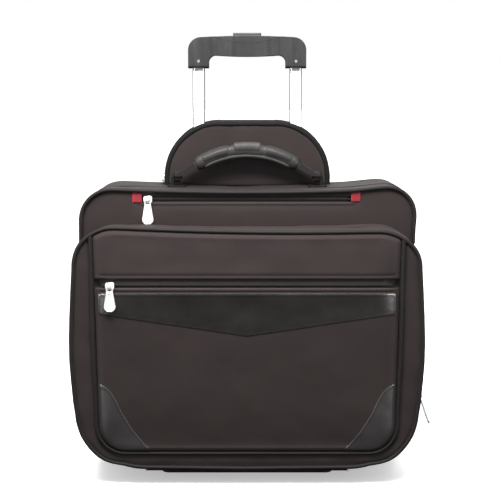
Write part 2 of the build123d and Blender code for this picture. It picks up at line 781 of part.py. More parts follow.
Y_FRONT_COIL = Y_PANEL_FACE + 1.5
with BuildPart() as front_panel:
    with BuildSketch(front_of(Y_PANEL_BACK)):
        add(outline(**PANEL))
        add(outline(**POCKET, inset=PIPING_INSET + PIPING_R + GAP), mode=Mode.INTERSECT)
    extrude(amount=Y_PANEL_BACK - Y_PANEL_FACE)
    fillet(front_panel.faces().filter_by(Axis.Y).sort_by(Axis.Y)[0].edges(), 4)
    add(
        zip_slot(FRONT_ZIP_Z, FRONT_ZIP_HALF, Y_PANEL_BACK, Y_PANEL_BACK - Y_PANEL_FACE),
        mode=Mode.SUBTRACT,
    )
    # room for the slider's rear plate behind the slot's upper edge
    with BuildSketch(front_of(Y_PANEL_BACK)):
        with Locations((0, FRONT_ZIP_Z)):
            Rectangle(2 * FRONT_ZIP_HALF, 2 * SLIDER_W / 2 + 2)
    extrude(amount=Y_PANEL_BACK - Y_PANEL_FACE - WALL, mode=Mode.SUBTRACT)
write(front_panel.part, "front_panel")
write(straight_coil(FRONT_ZIP_Z, FRONT_ZIP_HALF, Y_FRONT_COIL), "front_zip_coil")

with BuildPart() as trim_band:
    with BuildSketch(front_of(Y_PANEL_FACE)):
        with BuildLine():
            edge = PANEL["half_w"] - 5
            Polyline(
                (-edge, BAND_TOP),
                (edge, BAND_TOP),
                (edge, BAND_SIDE),
                (0, BAND_POINT),
                (-edge, BAND_SIDE),
                close=True,
            )
        make_face()
    extrude(amount=BAND_T)
write(trim_band.part, "trim_band")

patches = []
for side in (-1, 1):
    with BuildPart() as patch:
        with BuildSketch(front_of(Y_PANEL_FACE)):
            add(outline(**PANEL, inset=5))
            with BuildLine():
                Polyline(
                    (side * PANEL["half_w"], PATCH_TOP),
                    (side * PANEL["half_w"], 0),
                    (side * (PATCH_FOOT - 30), 0),
                    (side * PATCH_FOOT, PANEL["bottom"] + 5),
                    close=True,
                )
            make_face(mode=Mode.INTERSECT)
        extrude(amount=BAND_T)
    patches.append(patch.part.solids()[0])
write(Compound(children=patches), "corner_patches")

with BuildPart() as inner_piping:
    with BuildSketch(front_of(Y_PANEL_BACK)):
        add(outline(**PANEL, inset=-2 * PIPING_R))
        add(outline(**PANEL), mode=Mode.SUBTRACT)
        with Locations((0, POCKET["top"])):
            Rectangle(500, 2 * (POCKET["r_top"] - 18), mode=Mode.SUBTRACT)
    extrude(amount=2 * PIPING_R)
write(inner_piping.part, "inner_piping")

# ---------------------------------------------------------------- carry handle
with BuildPart() as handle_grip:
    with BuildLine() as grip_line:
        ThreePointArc(
            (-HANDLE_HALF, HANDLE_Y, HANDLE_END_Z),
            (0, HANDLE_Y, HANDLE_TOP_Z),
            (HANDLE_HALF, HANDLE_Y, HANDLE_END_Z),
        )
    arc = grip_line.wires()[0]
    with BuildSketch(Plane(arc @ 0, x_dir=(0, 1, 0), z_dir=arc % 0)):
        RectangleRounded(HANDLE_D, HANDLE_T, 7)
    sweep(path=arc)
write(handle_grip.part, "handle_grip")

# Each strap runs down from the grip's end to an eye that turns on the anchor's pin.
straps = []
for side in (-1, 1):
    with BuildPart() as strap:
        with BuildSketch(front_of(HANDLE_Y + STRAP_W / 2)):
            with BuildLine():
                Polyline(
                    (side * (HANDLE_HALF - 4), HANDLE_END_Z + 5),
                    (side * (HANDLE_HALF + 4), HANDLE_END_Z + 1),
                    (side * (EYE_X + EYE_HALF_L), EYE_Z + 3),
                    (side * (EYE_X + EYE_HALF_L), EYE_Z + 1.5),
                    (side * (EYE_X - EYE_HALF_L), EYE_Z + 1.5),
                    (side * (HANDLE_HALF - 4), HANDLE_END_Z - 3),
                    close=True,
                )
            make_face()
        extrude(amount=STRAP_W)
        add(handle_grip.part, mode=Mode.SUBTRACT)
        with BuildSketch(Plane.YZ.offset(side * EYE_X)):
            with Locations((HANDLE_Y, EYE_Z)):
                Circle(EYE_R)
        extrude(amount=EYE_HALF_L, both=True)
        with BuildSketch(Plane.YZ.offset(side * EYE_X)):
            with Locations((HANDLE_Y, EYE_Z)):
                Circle(HANDLE_PIN_R + 0.08)
        extrude(amount=3 * EYE_HALF_L, both=True, mode=Mode.SUBTRACT)
    straps.append(strap.part.solids().sort_by(SortBy.VOLUME)[-1])
write(Compound(children=straps), "handle_straps")

anchors = []
for side in (-1, 1):
    lug_x, lug_t, foot_w, foot_l = EYE_X + EYE_HALF_L + GAP, 4, 26, 24
    with BuildPart() as anchor:
        with BuildSketch(Plane.XY.offset(CASE["top"] - 12)):
            with Locations((side * (EYE_X + 1), HANDLE_Y)):
                RectangleRounded(foot_l, foot_w, 5)
        extrude(amount=10)
        with BuildSketch(Plane.YZ.offset(side * lug_x)):
            with Locations((HANDLE_Y, EYE_Z)):
                Circle(EYE_R)
            with Locations((HANDLE_Y, EYE_Z - 10)):
                Rectangle(2 * EYE_R, 20)
        extrude(amount=side * lug_t)
        with BuildSketch(Plane.YZ.offset(side * (EYE_X - EYE_HALF_L - 1.5))):
            with Locations((HANDLE_Y, EYE_Z)):
                Circle(HANDLE_PIN_R)
        extrude(amount=side * (2 * EYE_HALF_L + 3))
        with BuildSketch(front_of(Y_BACK)):
            add(outline(**CASE))
        extrude(amount=2 * Y_BACK, mode=Mode.SUBTRACT)
    anchors.append(anchor.part.solids()[0])
write(Compound(children=anchors), "handle_anchors")

# ---------------------------------------------------------------- zip sliders and pulls
def side_half_width(spec, z):
    """Half width of an outline's leaning side at height z, to the coil's middle."""
    lean = (spec["half_w"] - spec["top_half_w"]) / (spec["top"] - spec["bottom"])
    return spec["half_w"] - lean * (z - spec["bottom"]) - COIL_T / 2 - 0.2


def flat_zip_planes(x, z, y_middle):
    """Slider plane and pull plane of a zip on a front face."""
    facing = Plane((x, y_middle, z), x_dir=(1, 0, 0), z_dir=(0, -1, 0))
    return facing, facing.offset(PULL_AXIS_N)


def side_zip_plane(side, half_w, y_middle, z):
    """Slider plane of a zip that runs up a side wall."""
    return Plane((side * half_w, y_middle, z), x_dir=(0, 0, -side), z_dir=(side, 0, 0))


def pull_plane_down(facing, tilt=0.0):
    """Pull plane on a side wall, for a pull that hangs down, tilted outwards."""
    up = Vector(0, 0, 1)
    axis_at = facing.offset(PULL_AXIS_N).origin
    normal = facing.z_dir * cos(radians(tilt)) + up * sin(radians(tilt))
    return Plane(axis_at, x_dir=up.cross(facing.z_dir), z_dir=normal)


def pull_plane_back(facing):
    """Pull plane on a side wall, for a pull that points to the back."""
    x_dir = Vector(0, -1, 0).cross(facing.z_dir)
    return Plane(facing.origin, x_dir=x_dir, z_dir=facing.z_dir).offset(PULL_AXIS_N)


facing, hang = flat_zip_planes(TOP_SLIDER_X, TOP_ZIP_Z, Y_TOP_COIL)
write(slider(facing, hangs_across=True), "top_slider")
write(pull(hang), "top_pull")

facing, hang = flat_zip_planes(FRONT_SLIDER_X, FRONT_ZIP_Z, Y_FRONT_COIL)
write(slider(facing, hangs_across=True), "front_slider")
write(pull(hang), "front_pull")

Y_ORG_SLIDER = Y_ORG_COIL - COIL_V0
Y_MAIN_SLIDER = Y_MAIN_COIL - COIL_V0
Y_GARAGE_SLIDER = Y_COVER_BACK - COIL_V0
SIDE_ZIPS = (
    # name, side, outline, depth and height of the slider's middle
    ("organizer_low", 1, POCKET, Y_ORG_SLIDER, SIDE_SLIDER_LOW_Z),
    ("organizer_high", 1, POCKET, Y_ORG_SLIDER, SIDE_SLIDER_HIGH_Z),
    ("main", -1, CASE, Y_MAIN_SLIDER, MAIN_SLIDER_Z),
    ("garage", -1, DOME, Y_GARAGE_SLIDER, GARAGE_SLIDER_Z),
)
for name, side, spec, y_middle, z in SIDE_ZIPS:
    points_back = name in ("organizer_high", "garage")
    facing = side_zip_plane(side, side_half_width(spec, z), y_middle, z)
    write(slider(facing, hangs_across=points_back), f"{name}_slider")
    if points_back:
        write(pull(pull_plane_back(facing)), f"{name}_pull")
    elif name == "organizer_low":
        write(pull(pull_plane_down(facing, SIDE_PULL_TILT), SIDE_PULL_LENGTH), f"{name}_pull")
    else:
        write(pull(pull_plane_down(facing)), f"{name}_pull")
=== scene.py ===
"""Looks of the rolling laptop case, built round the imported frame. Metres, the CAD's frame.

Every soft panel is a mesh of its own: a sewn outline filled with an even net of triangles,
crowned at its seams, and for the padded panels swollen by a short cloth simulation.
"""

import json
import math

import bmesh
import bpy
import numpy as np
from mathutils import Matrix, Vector, noise
from mathutils.bvhtree import BVHTree
from mathutils.geometry import delaunay_2d_cdt

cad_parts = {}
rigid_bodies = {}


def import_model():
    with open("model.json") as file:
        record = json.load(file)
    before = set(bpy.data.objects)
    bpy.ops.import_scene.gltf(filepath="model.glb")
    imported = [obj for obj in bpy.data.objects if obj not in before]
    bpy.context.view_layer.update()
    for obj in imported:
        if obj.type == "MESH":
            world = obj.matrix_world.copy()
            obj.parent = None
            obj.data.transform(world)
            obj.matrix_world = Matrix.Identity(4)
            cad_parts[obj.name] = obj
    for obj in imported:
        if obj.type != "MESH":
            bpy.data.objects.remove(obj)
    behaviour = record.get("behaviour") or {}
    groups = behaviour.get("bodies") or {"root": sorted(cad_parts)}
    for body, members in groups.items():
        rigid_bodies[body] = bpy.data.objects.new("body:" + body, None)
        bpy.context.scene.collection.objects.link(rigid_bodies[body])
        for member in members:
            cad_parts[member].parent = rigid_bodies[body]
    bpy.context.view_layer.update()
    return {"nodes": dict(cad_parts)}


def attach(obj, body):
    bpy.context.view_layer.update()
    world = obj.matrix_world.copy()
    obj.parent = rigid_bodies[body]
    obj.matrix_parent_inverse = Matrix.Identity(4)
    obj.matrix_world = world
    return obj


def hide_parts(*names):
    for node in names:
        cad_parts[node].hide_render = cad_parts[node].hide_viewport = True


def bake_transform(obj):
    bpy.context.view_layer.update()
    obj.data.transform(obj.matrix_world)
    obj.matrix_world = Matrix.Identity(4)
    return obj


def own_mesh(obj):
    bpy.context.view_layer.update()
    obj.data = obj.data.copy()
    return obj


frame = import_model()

bpy.context.scene.view_settings.view_transform = "Standard"

MM = 0.001
NODES = frame["nodes"]

# Outlines from the front, in mm: half width, top half width, bottom, top, dip, radii.
CASE = (212, 209, 11, 367, 6, 62, 40)
POCKET = (215, 210, 14.4, 322, 5, 88, 49)
PANEL = (182, 187, 43, 319, 5, 33, 4)
DOME = (109, 108, 340, 446, -1, 2, 72)
MAIN_FACE = (212, 209, 14.4, 367, 6, 62, 40)

ORG_SPLIT, MAIN_SPLIT = 97.7, 95.8  # heights where the organizer's and the case's zips end
ORGANIZER_ZIP_Y, MAIN_ZIP_Y, GARAGE_ZIP_Y = -58.0, 4.0, 55.4
BACK_Y = 93.0
HOUSING_TOP, HOUSING_X = 74, 143.0  # top and inner side of the wheel housings
TOP_ZIP, FRONT_ZIP = 351.2, 251.5
TWO_PI = 2 * math.pi


# ---------------- outlines
def fillet_corner(corner, came, goes, radius, count=14):
    """Arc points that round a corner between two directions."""
    came, goes = np.array(came, float), np.array(goes, float)
    came, goes = came / np.linalg.norm(came), goes / np.linalg.norm(goes)
    turn = math.acos(max(-1, min(1, float(came @ goes))))
    back = radius * math.tan(turn / 2)
    start = np.array(corner, float) - came * back
    left = np.array([-came[1], came[0]])
    centre = start + left * radius
    first = start - centre
    points = []
    for a in np.linspace(0, turn, count):
        c, s = math.cos(a), math.sin(a)
        points.append(centre + [first[0] * c - first[1] * s, first[0] * s + first[1] * c])
    return points


def raw_outline(spec, inset=0.0):
    """Right half of an outline from the bottom's middle to the top's middle, then its mirror."""
    half, top_half, bottom, top, dip, r_low, r_high = spec
    wide, narrow, low, high = half - inset, top_half - inset, bottom + inset, top - inset
    side = (narrow - wide, high - low)
    slope = 2 * dip / narrow
    right = [np.array([0.0, low])]
    right += fillet_corner((wide, low), (1, 0), side, max(r_low - inset, 1))
    corner = fillet_corner((narrow, high), side, (-1, -slope), max(r_high - inset, 1))
    right += corner
    for x in np.linspace(corner[-1][0], 0, 12)[1:]:
        right.append(np.array([x, high - dip * (1 - (x / narrow) ** 2)]))
    left = [np.array([-p[0], p[1]]) for p in right[-2:0:-1]]
    return np.array(right + left)


def resample(points, step, closed=True):
    """Evenly spaced points along a path, with its sharp corners kept."""
    pts = np.vstack([points, points[:1]]) if closed else np.asarray(points)
    length = np.linalg.norm(np.diff(pts, axis=0), axis=1)
    keep = length > 1e-6
    pts = np.vstack([pts[:1], pts[1:][keep]])
    length = length[keep]
    along = np.concatenate([[0], np.cumsum(length)])
    count = max(3, int(round(along[-1] / step)))
    at = np.linspace(0, along[-1], count + 1)
    if closed:
        at = at[:-1]
    return np.column_stack([np.interp(at, along, pts[:, k]) for k in range(pts.shape[1])])


def outline(spec, inset=0.0, step=4.0):
    return resample(raw_outline(spec, inset), step)


def normals_of(points, closed=True):
    """Outward unit normals of a path that runs anticlockwise seen from the front."""
    if closed:
        t = np.roll(points, -1, 0) - np.roll(points, 1, 0)
    else:
        t = np.gradient(points, axis=0)
    n = np.column_stack([t[:, 1], -t[:, 0]])
    return n / np.maximum(np.linalg.norm(n, axis=1)[:, None], 1e-9)


def part_of(spec, above=None, below=None, step=4.0, inset=0.0):
    """The stretch of an outline above or below a height, as an open path."""
    dense = resample(raw_outline(spec, inset), 0.5)
    keep = dense[:, 1] > above if above is not None else dense[:, 1] < below
    start = next(i for i in range(len(keep)) if keep[i] and not keep[i - 1])
    rolled, flags = np.roll(dense, -start, 0), np.roll(keep, -start)
    return resample(rolled[flags], step, closed=False)


def clip(poly, a, b):
    """The polygon's part to the left of the line from a to b."""
    a, b = np.array(a, float), np.array(b, float)
    d = b - a
    side = d[0] * (poly[:, 1] - a[1]) - d[1] * (poly[:, 0] - a[0])
    out = []
    for i in range(len(poly)):
        j = (i + 1) % len(poly)
        if side[i] >= 0:
            out.append(poly[i])
        if (side[i] >= 0) != (side[j] >= 0):
            share = side[i] / (side[i] - side[j])
            out.append(poly[i] + share * (poly[j] - poly[i]))
    return np.array(out)


def inside(points, loop):
    """Which points lie inside a closed loop."""
    x, z = points[:, 0][:, None], points[:, 1][:, None]
    a, b = loop, np.roll(loop, -1, 0)
    crosses = (a[:, 1] > z) != (b[:, 1] > z)
    rise = np.where(np.abs(b[:, 1] - a[:, 1]) < 1e-12, 1e-12, b[:, 1] - a[:, 1])
    at = (b[:, 0] - a[:, 0]) * (z - a[:, 1]) / rise + a[:, 0]
    return (np.sum(crosses & (x < at), axis=1) % 2) == 1


def distance(points, path, closed=True):
    """Distance from each point to a path."""
    a = path if closed else path[:-1]
    b = np.roll(path, -1, 0) if closed else path[1:]
    best = np.full(len(points), 1e9)
    for p, q in zip(a, b):
        d = q - p
        t = np.clip(((points - p) @ d) / max(d @ d, 1e-12), 0, 1)
        best = np.minimum(best, np.linalg.norm(points - p - t[:, None] * d, axis=1))
    return best


def crown(d, width):
    """Height share of a sewn edge's round shoulder at distance d from the seam."""
    t = np.clip(d / width, 0, 1)
    return np.sqrt(np.maximum(0, 1 - (1 - t) ** 2))


def eased(t):
    """A rise that is steep at 0 and level at 1."""
    return 1 - (1 - np.clip(t, 0, 1)) ** 2


def wobble(points, size, seed):
    """Smooth noise at 2-D points, for slack cloth."""
    return np.array([noise.noise(Vector((p[0] / size, p[1] / size, seed))) for p in points])


def arc_of(points):
    """Length along a path at each of its points."""
    return np.concatenate([[0], np.cumsum(np.linalg.norm(np.diff(points, axis=0), axis=1))])


# ---------------- mesh builders
def add_object(name, data):
    obj = bpy.data.objects.new(name, data)
    bpy.context.scene.collection.objects.link(obj)
    return obj


def mesh_object(name, verts, faces, uvs=None, wear_and_highlight=None):
    """A smooth-shaded object from points in mm."""
    mesh = bpy.data.meshes.new(name)
    mesh.from_pydata([tuple(v * MM for v in p) for p in verts], [], [tuple(f) for f in faces])
    if uvs is not None:
        layer = mesh.uv_layers.new(name="UVMap")
        index = np.zeros(len(mesh.loops), int)
        mesh.loops.foreach_get("vertex_index", index)
        layer.data.foreach_set("uv", (np.asarray(uvs)[index] * MM).ravel())
    # A per-point share of paler colour: partly wear, partly a painted highlight along edges and folds.
    if wear_and_highlight is not None:
        attribute = mesh.attributes.new("wear_and_highlight", "FLOAT", "POINT")
        attribute.data.foreach_set("value", np.asarray(wear_and_highlight, np.float32))
    mesh.shade_smooth()
    mesh.update()
    return add_object(name, mesh)


def finish_piece(obj, material, body=None, node=None):
    """Gives a piece its material and body, and hides the CAD node it replaces."""
    if material:
        obj.data.materials.clear()
        obj.data.materials.append(material)
    if body:
        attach(obj, body)
    if node:
        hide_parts(node)
    return obj


def grid_faces(rows, columns, closed=False, base=0, flip=False):
    """Four-sided faces between rows of points, which follow one another from base on."""
    faces = []
    for r in range(rows - 1):
        for i in range(columns if closed else columns - 1):
            a, b = base + r * columns + i, base + r * columns + (i + 1) % columns
            faces.append((a, a + columns, b + columns, b) if flip else (a, b, b + columns, a + columns))
    return faces


def ring_edges(start, count):
    return [(start + i, start + (i + 1) % count) for i in range(count)]


def triangulate(cloud, edges):
    """Flat points and the triangles between them, with the edges kept."""
    verts, _, faces, *_ = delaunay_2d_cdt([Vector(p) for p in cloud], edges, [], 1, 1e-5)
    return np.array([tuple(v) for v in verts]), np.array([tuple(f) for f in faces])


def net(loop, step=5.0, rows=(1.0, 2.2, 4.0, 6.5), holes=(), slot=None):
    """Points and triangles that fill a loop: close rows along its seam, an even net inside."""
    normal = normals_of(loop)
    points = [loop]
    edges = ring_edges(0, len(loop))
    if slot is not None:
        points.append(slot)
        edges += ring_edges(len(loop), len(slot))
        points += [slot + normals_of(slot) * r for r in rows]
        holes = (*holes, slot)
    for r in rows:
        row = loop - normal * r
        points.append(row[inside(row, loop) & (distance(row, loop) > 0.8 * r)])
    low, high = loop.min(0), loop.max(0)
    height = step * math.sqrt(3) / 2
    grid = []
    for k, z in enumerate(np.arange(low[1] + height / 2, high[1], height)):
        shift = step / 2 if k % 2 else 0
        grid += [(x + shift, z) for x in np.arange(low[0], high[0], step)]
    grid = np.array(grid)
    grid = grid[inside(grid, loop)]
    if len(grid):
        room = rows[-1] + 0.6 * step
        grid = grid[distance(grid, loop) > room]
        if slot is not None:
            grid = grid[~inside(grid, slot) & (distance(grid, slot) > room)]
        points.append(grid)
    flat, tris = triangulate(np.vstack(points), edges)
    centre = flat[tris].mean(1)
    keep = np.ones(len(tris), bool)
    for hole in holes:
        keep &= ~inside(centre, hole)
    tris = tris[keep]
    used = np.unique(tris)
    index = np.full(len(flat), -1)
    index[used] = np.arange(len(used))
    return flat[used], index[tris]


def lift(name, flat, tris, y, wear_and_highlight=None):
    """A panel that faces the front, from flat points and a depth for each."""
    verts = np.column_stack([flat[:, 0], np.broadcast_to(y, len(flat)), flat[:, 1]])
    return mesh_object(name, verts, tris, flat, wear_and_highlight)


def sweep(name, path, profile, closed=False):
    """A strip along a path. The profile lists (outwards, depth) points in mm."""
    normal = normals_of(path, closed)
    verts, uvs = [], []
    for (out, y), across in zip(profile, arc_of(profile)):
        verts.append(np.insert(path + normal * out, 1, y, axis=1))
        uvs.append(np.column_stack([arc_of(path), np.full(len(path), across)]))
    faces = grid_faces(len(profile), len(path), closed, flip=True)
    return mesh_object(name, np.vstack(verts), faces, np.vstack(uvs))


def cord_profile(radius, y, out=0.0):
    """A closed round section for sweep()."""
    return [(out + radius * math.cos(a), y + radius * math.sin(a)) for a in np.linspace(0, TWO_PI, 13)]


def gusset_profile(y0, y1, puff, rows=11):
    """A side wall's section: hemmed edges, which turn in, and a slightly swollen middle."""
    turned_in, reach = 2.2, 2.5
    points = []
    for t in np.linspace(0, 1, rows):
        y = y0 + (y1 - y0) * (0.5 - 0.5 * math.cos(math.pi * t))
        hem = 1 - float(crown(np.array(min(y - y0, y1 - y)), reach))
        points.append((puff * math.sin(math.pi * t) ** 0.8 - turned_in * hem, y))
    return points


def slacken(obj, amount, size, seed):
    """Moves points along their normals by smooth noise, but not the mesh's free edges."""
    bm = bmesh.new()
    bm.from_mesh(obj.data)
    bm.normal_update()
    for v in bm.verts:
        if not v.is_boundary:
            p = v.co / (size * MM) + Vector((seed, 0, 0))
            v.co += v.normal * (noise.noise(p) * amount * MM)
    bm.to_mesh(obj.data)
    bm.free()


def drop_faces(obj, test):
    """Removes the faces whose middle, in mm, passes the test."""
    bm = bmesh.new()
    bm.from_mesh(obj.data)
    gone = [f for f in bm.faces if test(f.calc_center_median() / MM)]
    bmesh.ops.delete(bm, geom=gone, context="FACES")
    bm.to_mesh(obj.data)
    bm.free()


def join(name, objects):
    """One object from several, keeping their materials."""
    first = objects[0]
    for o in objects[1:]:
        for m in o.data.materials:
            if m.name not in [x.name for x in first.data.materials]:
                first.data.materials.append(m)
    with bpy.context.temp_override(
        active_object=first, object=first, selected_objects=objects, selected_editable_objects=objects
    ):
        bpy.ops.object.join()
    first.name = name
    first.data.name = name
    return first


def coordinates(mesh):
    flat = np.zeros(len(mesh.vertices) * 3)
    mesh.vertices.foreach_get("co", flat)
    return flat.reshape(-1, 3)


SIM_FRAMES, CALM_PASSES = 20, 14
CLOTH = {
    "quality": 4, "mass": 0.25, "tension_stiffness": 18, "compression_stiffness": 18,
    "shear_stiffness": 8, "bending_stiffness": 1.2, "vertex_group_mass": "sewn", "use_pressure": True,
}


def inflate(obj, held, pressure, cap):
    """Swells a panel by a short cloth simulation, smoothed. held are the vertices sewn down."""
    obj.vertex_groups.new(name="sewn").add([int(i) for i in held], 1.0, "REPLACE")
    cloth = obj.modifiers.new("Cloth", "CLOTH")
    for key, value in CLOTH.items():
        setattr(cloth.settings, key, value)
    cloth.settings.uniform_pressure_force = pressure
    cloth.settings.effector_weights.gravity = 0
    cloth.collision_settings.use_collision = False
    scene = bpy.context.scene
    for span in (scene, cloth.point_cache):
        span.frame_start, span.frame_end = 1, SIM_FRAMES
    for f in range(1, SIM_FRAMES + 1):
        scene.frame_set(f)
    moved = obj.evaluated_get(bpy.context.evaluated_depsgraph_get()).to_mesh()
    rest = coordinates(obj.data)
    step = np.nan_to_num(coordinates(moved) - rest)
    ends = np.zeros(len(obj.data.edges) * 2, int)
    obj.data.edges.foreach_get("vertices", ends)
    ends = ends.reshape(-1, 2)
    fixed = np.zeros((len(rest), 1), bool)
    fixed[list(held)] = True
    for _ in range(CALM_PASSES):
        total, links = np.zeros_like(step), np.zeros((len(rest), 1))
        for a, b in ((0, 1), (1, 0)):
            np.add.at(total, ends[:, a], step[ends[:, b]])
            np.add.at(links, ends[:, a], 1)
        step = np.where(fixed, step, 0.4 * step + 0.6 * total / np.maximum(links, 1))
    size = np.linalg.norm(step, axis=1)
    limit = cap * MM
    scale = limit * np.tanh(size / limit) / np.maximum(size, 1e-9)
    obj.modifiers.remove(cloth)
    obj.vertex_groups.clear()
    obj.data.vertices.foreach_set("co", (rest + step * scale[:, None]).ravel())
    obj.data.update()
    scene.frame_set(1)


def surface_of(obj):
    """A tree for finding the depth of a front-facing surface."""
    mesh = obj.data
    corners = [v.co.copy() for v in mesh.vertices]
    return BVHTree.FromPolygons(corners, [tuple(p.vertices) for p in mesh.polygons])


def depth_at(tree, x, z, fallback=-97.6):
    hit = tree.ray_cast(Vector((x * MM, -0.2, z * MM)), Vector((0, 1, 0)))
    return hit[0].y / MM if hit[0] is not None else fallback


STITCH, STITCH_STEP, THREAD_WIDTH, THREAD_RISE = 2.6, 3.6, 0.55, 0.32
STITCH_SECTIONS = ((-0.5, 0.25, -0.15), (-0.3, 0.5, 1.0), (0.3, 0.5, 1.0), (0.5, 0.25, -0.15))


def stitches(name, points, body=None, facing=-1):
    """A row of thread stitches along 3-D points in mm, raised to the front (-1) or the back (1)."""
    path = resample(np.asarray(points, float), STITCH_STEP, closed=False)
    up = np.array([0.0, facing, 0.0])
    verts, faces = [], []
    for start, end in zip(path, path[1:]):
        along = (end - start) / np.linalg.norm(end - start)
        across = np.cross(along, up)
        faces += grid_faces(4, 3, base=len(verts), flip=True)
        for t, w, h in STITCH_SECTIONS:
            at = (start + end) / 2 + along * (t * STITCH)
            for s in (-1, 0, 1):
                rise = THREAD_RISE * (h if s == 0 else h - 0.9)
                verts.append(at + across * (s * w * THREAD_WIDTH) + up * rise)
    return finish_piece(mesh_object(name, verts, faces), thread, body)


PITCH = 1.7
BEAD = [(-0.45, -0.2), (-0.3, 0.35), (0.6, 0.6), (1.6, 0.4), (2.0, -0.2)]  # (across, up) in mm


def teeth(name, points, across, up, side):
    """One half of a zip's coil: a bead for each turn, along 3-D points in mm."""
    path = resample(np.asarray(points, float), PITCH, closed=False)
    across, up = np.atleast_2d(across), np.atleast_2d(up)
    verts, faces = [], []
    for i, point in enumerate(path):
        k = min(i, len(across) - 1)
        j = min(i + 1, len(path) - 1)
        along = path[j] - path[j - 1]
        along = along / max(np.linalg.norm(along), 1e-9)
        at = point + along * (PITCH / 2 if side > 0 else 0)
        faces += grid_faces(3, len(BEAD), base=len(verts))
        for t, swell in ((-0.45, 0.55), (0.0, 1.0), (0.45, 0.55)):
            for w, h in BEAD:
                verts.append(at + along * t * 1.1 + across[k] * (-side * w) + up[k] * (h * swell))
    return finish_piece(mesh_object(name, verts, faces), coil_plastic)


def plate(name, loop, thickness, origin, x_axis, y_axis, bevel=0.5, hole=None, segments=3):
    """A flat piece with rounded edges, from a 2-D loop on the plane of two axes."""
    cloud, edges = loop, ring_edges(0, len(loop))
    if hole is not None:
        cloud = np.vstack([loop, hole])
        edges += ring_edges(len(loop), len(hole))
    flat, faces = triangulate(cloud, edges)
    x_axis, y_axis = Vector(x_axis).normalized(), Vector(y_axis).normalized()
    out = x_axis.cross(y_axis)
    origin, half = Vector(origin), out * (thickness / 2)
    bm = bmesh.new()
    made = [bm.verts.new((origin + x_axis * p[0] + y_axis * p[1] - half) * MM) for p in flat]
    for f in faces:
        if hole is None or not inside(flat[f].mean(0)[None], hole)[0]:
            bm.faces.new([made[i] for i in f])
    bmesh.ops.recalc_face_normals(bm, faces=bm.faces)
    top = bmesh.ops.extrude_face_region(bm, geom=bm.faces[:])["geom"]
    raised = [v for v in top if isinstance(v, bmesh.types.BMVert)]
    bmesh.ops.translate(bm, verts=raised, vec=out * thickness * MM)
    bmesh.ops.recalc_face_normals(bm, faces=bm.faces)
    bmesh.ops.dissolve_limit(bm, angle_limit=math.radians(0.5), verts=bm.verts[:], edges=bm.edges[:])
    mesh = bpy.data.meshes.new(name)
    bm.to_mesh(mesh)
    bm.free()
    return round_edges(add_object(name, mesh), bevel, segments)


def round_edges(obj, width, segments=3):
    bevel = obj.modifiers.new("Bevel", "BEVEL")
    bevel.width = width * MM
    bevel.segments = segments
    bevel.limit_method = "ANGLE"
    bevel.angle_limit = math.radians(38)
    obj.data.shade_smooth()
    obj.modifiers.new("Weighted", "WEIGHTED_NORMAL").keep_sharp = True
    return obj


def softened(node, width):
    """A copy of a CAD node with its sharp edges rounded, which stands for it."""
    bm = bmesh.new()
    bm.from_mesh(NODES[node].data)
    bmesh.ops.remove_doubles(bm, verts=bm.verts, dist=1e-6)
    bmesh.ops.dissolve_limit(bm, angle_limit=math.radians(0.6), verts=bm.verts[:], edges=bm.edges[:])
    bmesh.ops.dissolve_degenerate(bm, dist=1e-6, edges=bm.edges[:])
    verts = [tuple(v.co / MM) for v in bm.verts]
    bm.verts.index_update()
    faces = [[v.index for v in f.verts] for f in bm.faces]
    bm.free()
    return round_edges(mesh_object(node + "_finished", verts, faces), width)


def lathe(name, profile, centre, sides=72):
    """A turned piece about an axis along X. The profile lists (x, radius) points in mm."""
    verts = [
        (centre[0] + x, centre[1] + r * math.cos(a), centre[2] + r * math.sin(a))
        for x, r in profile
        for a in np.linspace(0, TWO_PI, sides, endpoint=False)
    ]
    return mesh_object(name, verts, grid_faces(len(profile), sides, closed=True))


# ---------------- how the stuffed case sags
# (height, outward push of the sides) and (distance from the middle, lift of the lower edge).
SIDE_PUSH = ((14, 0), (40, 0.8), (61, 0.4), (92, -1.8), (112, 0.2), (130, 2.0), (155, 4.2), (182, 4.8))
SIDE_PUSH += ((211, 4.2), (241, 3.0), (270, 1.6), (300, 2.4), (330, 1.0), (380, 0))
BOTTOM_LIFT = ((0, 5.8), (112, 7.0), (152, 7.4), (172, 3.6), (190, 0.6), (230, 0))


def smooth(t):
    t = np.clip(t, 0, 1)
    return t * t * (3 - 2 * t)


# The pieces that are warped once everything has been laid on them.
FRONT_PIECES = {
    "outer_piping_cord", "inner_piping_cord", "organizer_border_cloth", "organizer_rear_cloth",
    "front_high_cloth", "organizer_zip_organizer_lid_half", "organizer_zip_main_lid_half",
}
REAR_PIECES = {
    "main_panel_cloth", "main_piping_cord", "main_lid_wall_cloth", "main_zip_main_lid_half",
    "main_zip_case_half", "rear_wall_cloth", "back_panel_cloth", "back_piping_cord", "back_lining",
}


def put_points(obj, points):
    obj.data.vertices.foreach_set("co", (points * MM).ravel())
    obj.data.update()


def warp_front(obj):
    """Bulges the front pocket's border and lifts its lower edge, fully at the front."""
    near, far = -56.0, -87.0
    p = coordinates(obj.data) / MM
    x, y, z = p[:, 0].copy(), p[:, 1], p[:, 2].copy()
    share = smooth((near - y) / (near - far))
    push = np.interp(z, *zip(*SIDE_PUSH)) * smooth((np.abs(x) - 176) / 32)
    raised = np.interp(np.abs(x), *zip(*BOTTOM_LIFT)) * smooth((42 - z) / 24)
    tilted = -2.4 * np.clip(x / 170, -1, 1) * smooth((z - 262) / 50)
    p[:, 0] += share * push * np.sign(x)
    p[:, 2] += share * (raised + tilted)
    put_points(obj, p)


def warp_back(obj):
    """Squares up the rear half's right top corner, which sags less than the left one."""
    p = coordinates(obj.data) / MM
    share = smooth((p[:, 0] - 120) / 70) * smooth((p[:, 2] - 300) / 55)
    p[:, 0] += 3.4 * share
    p[:, 2] += 3.6 * share
    put_points(obj, p)


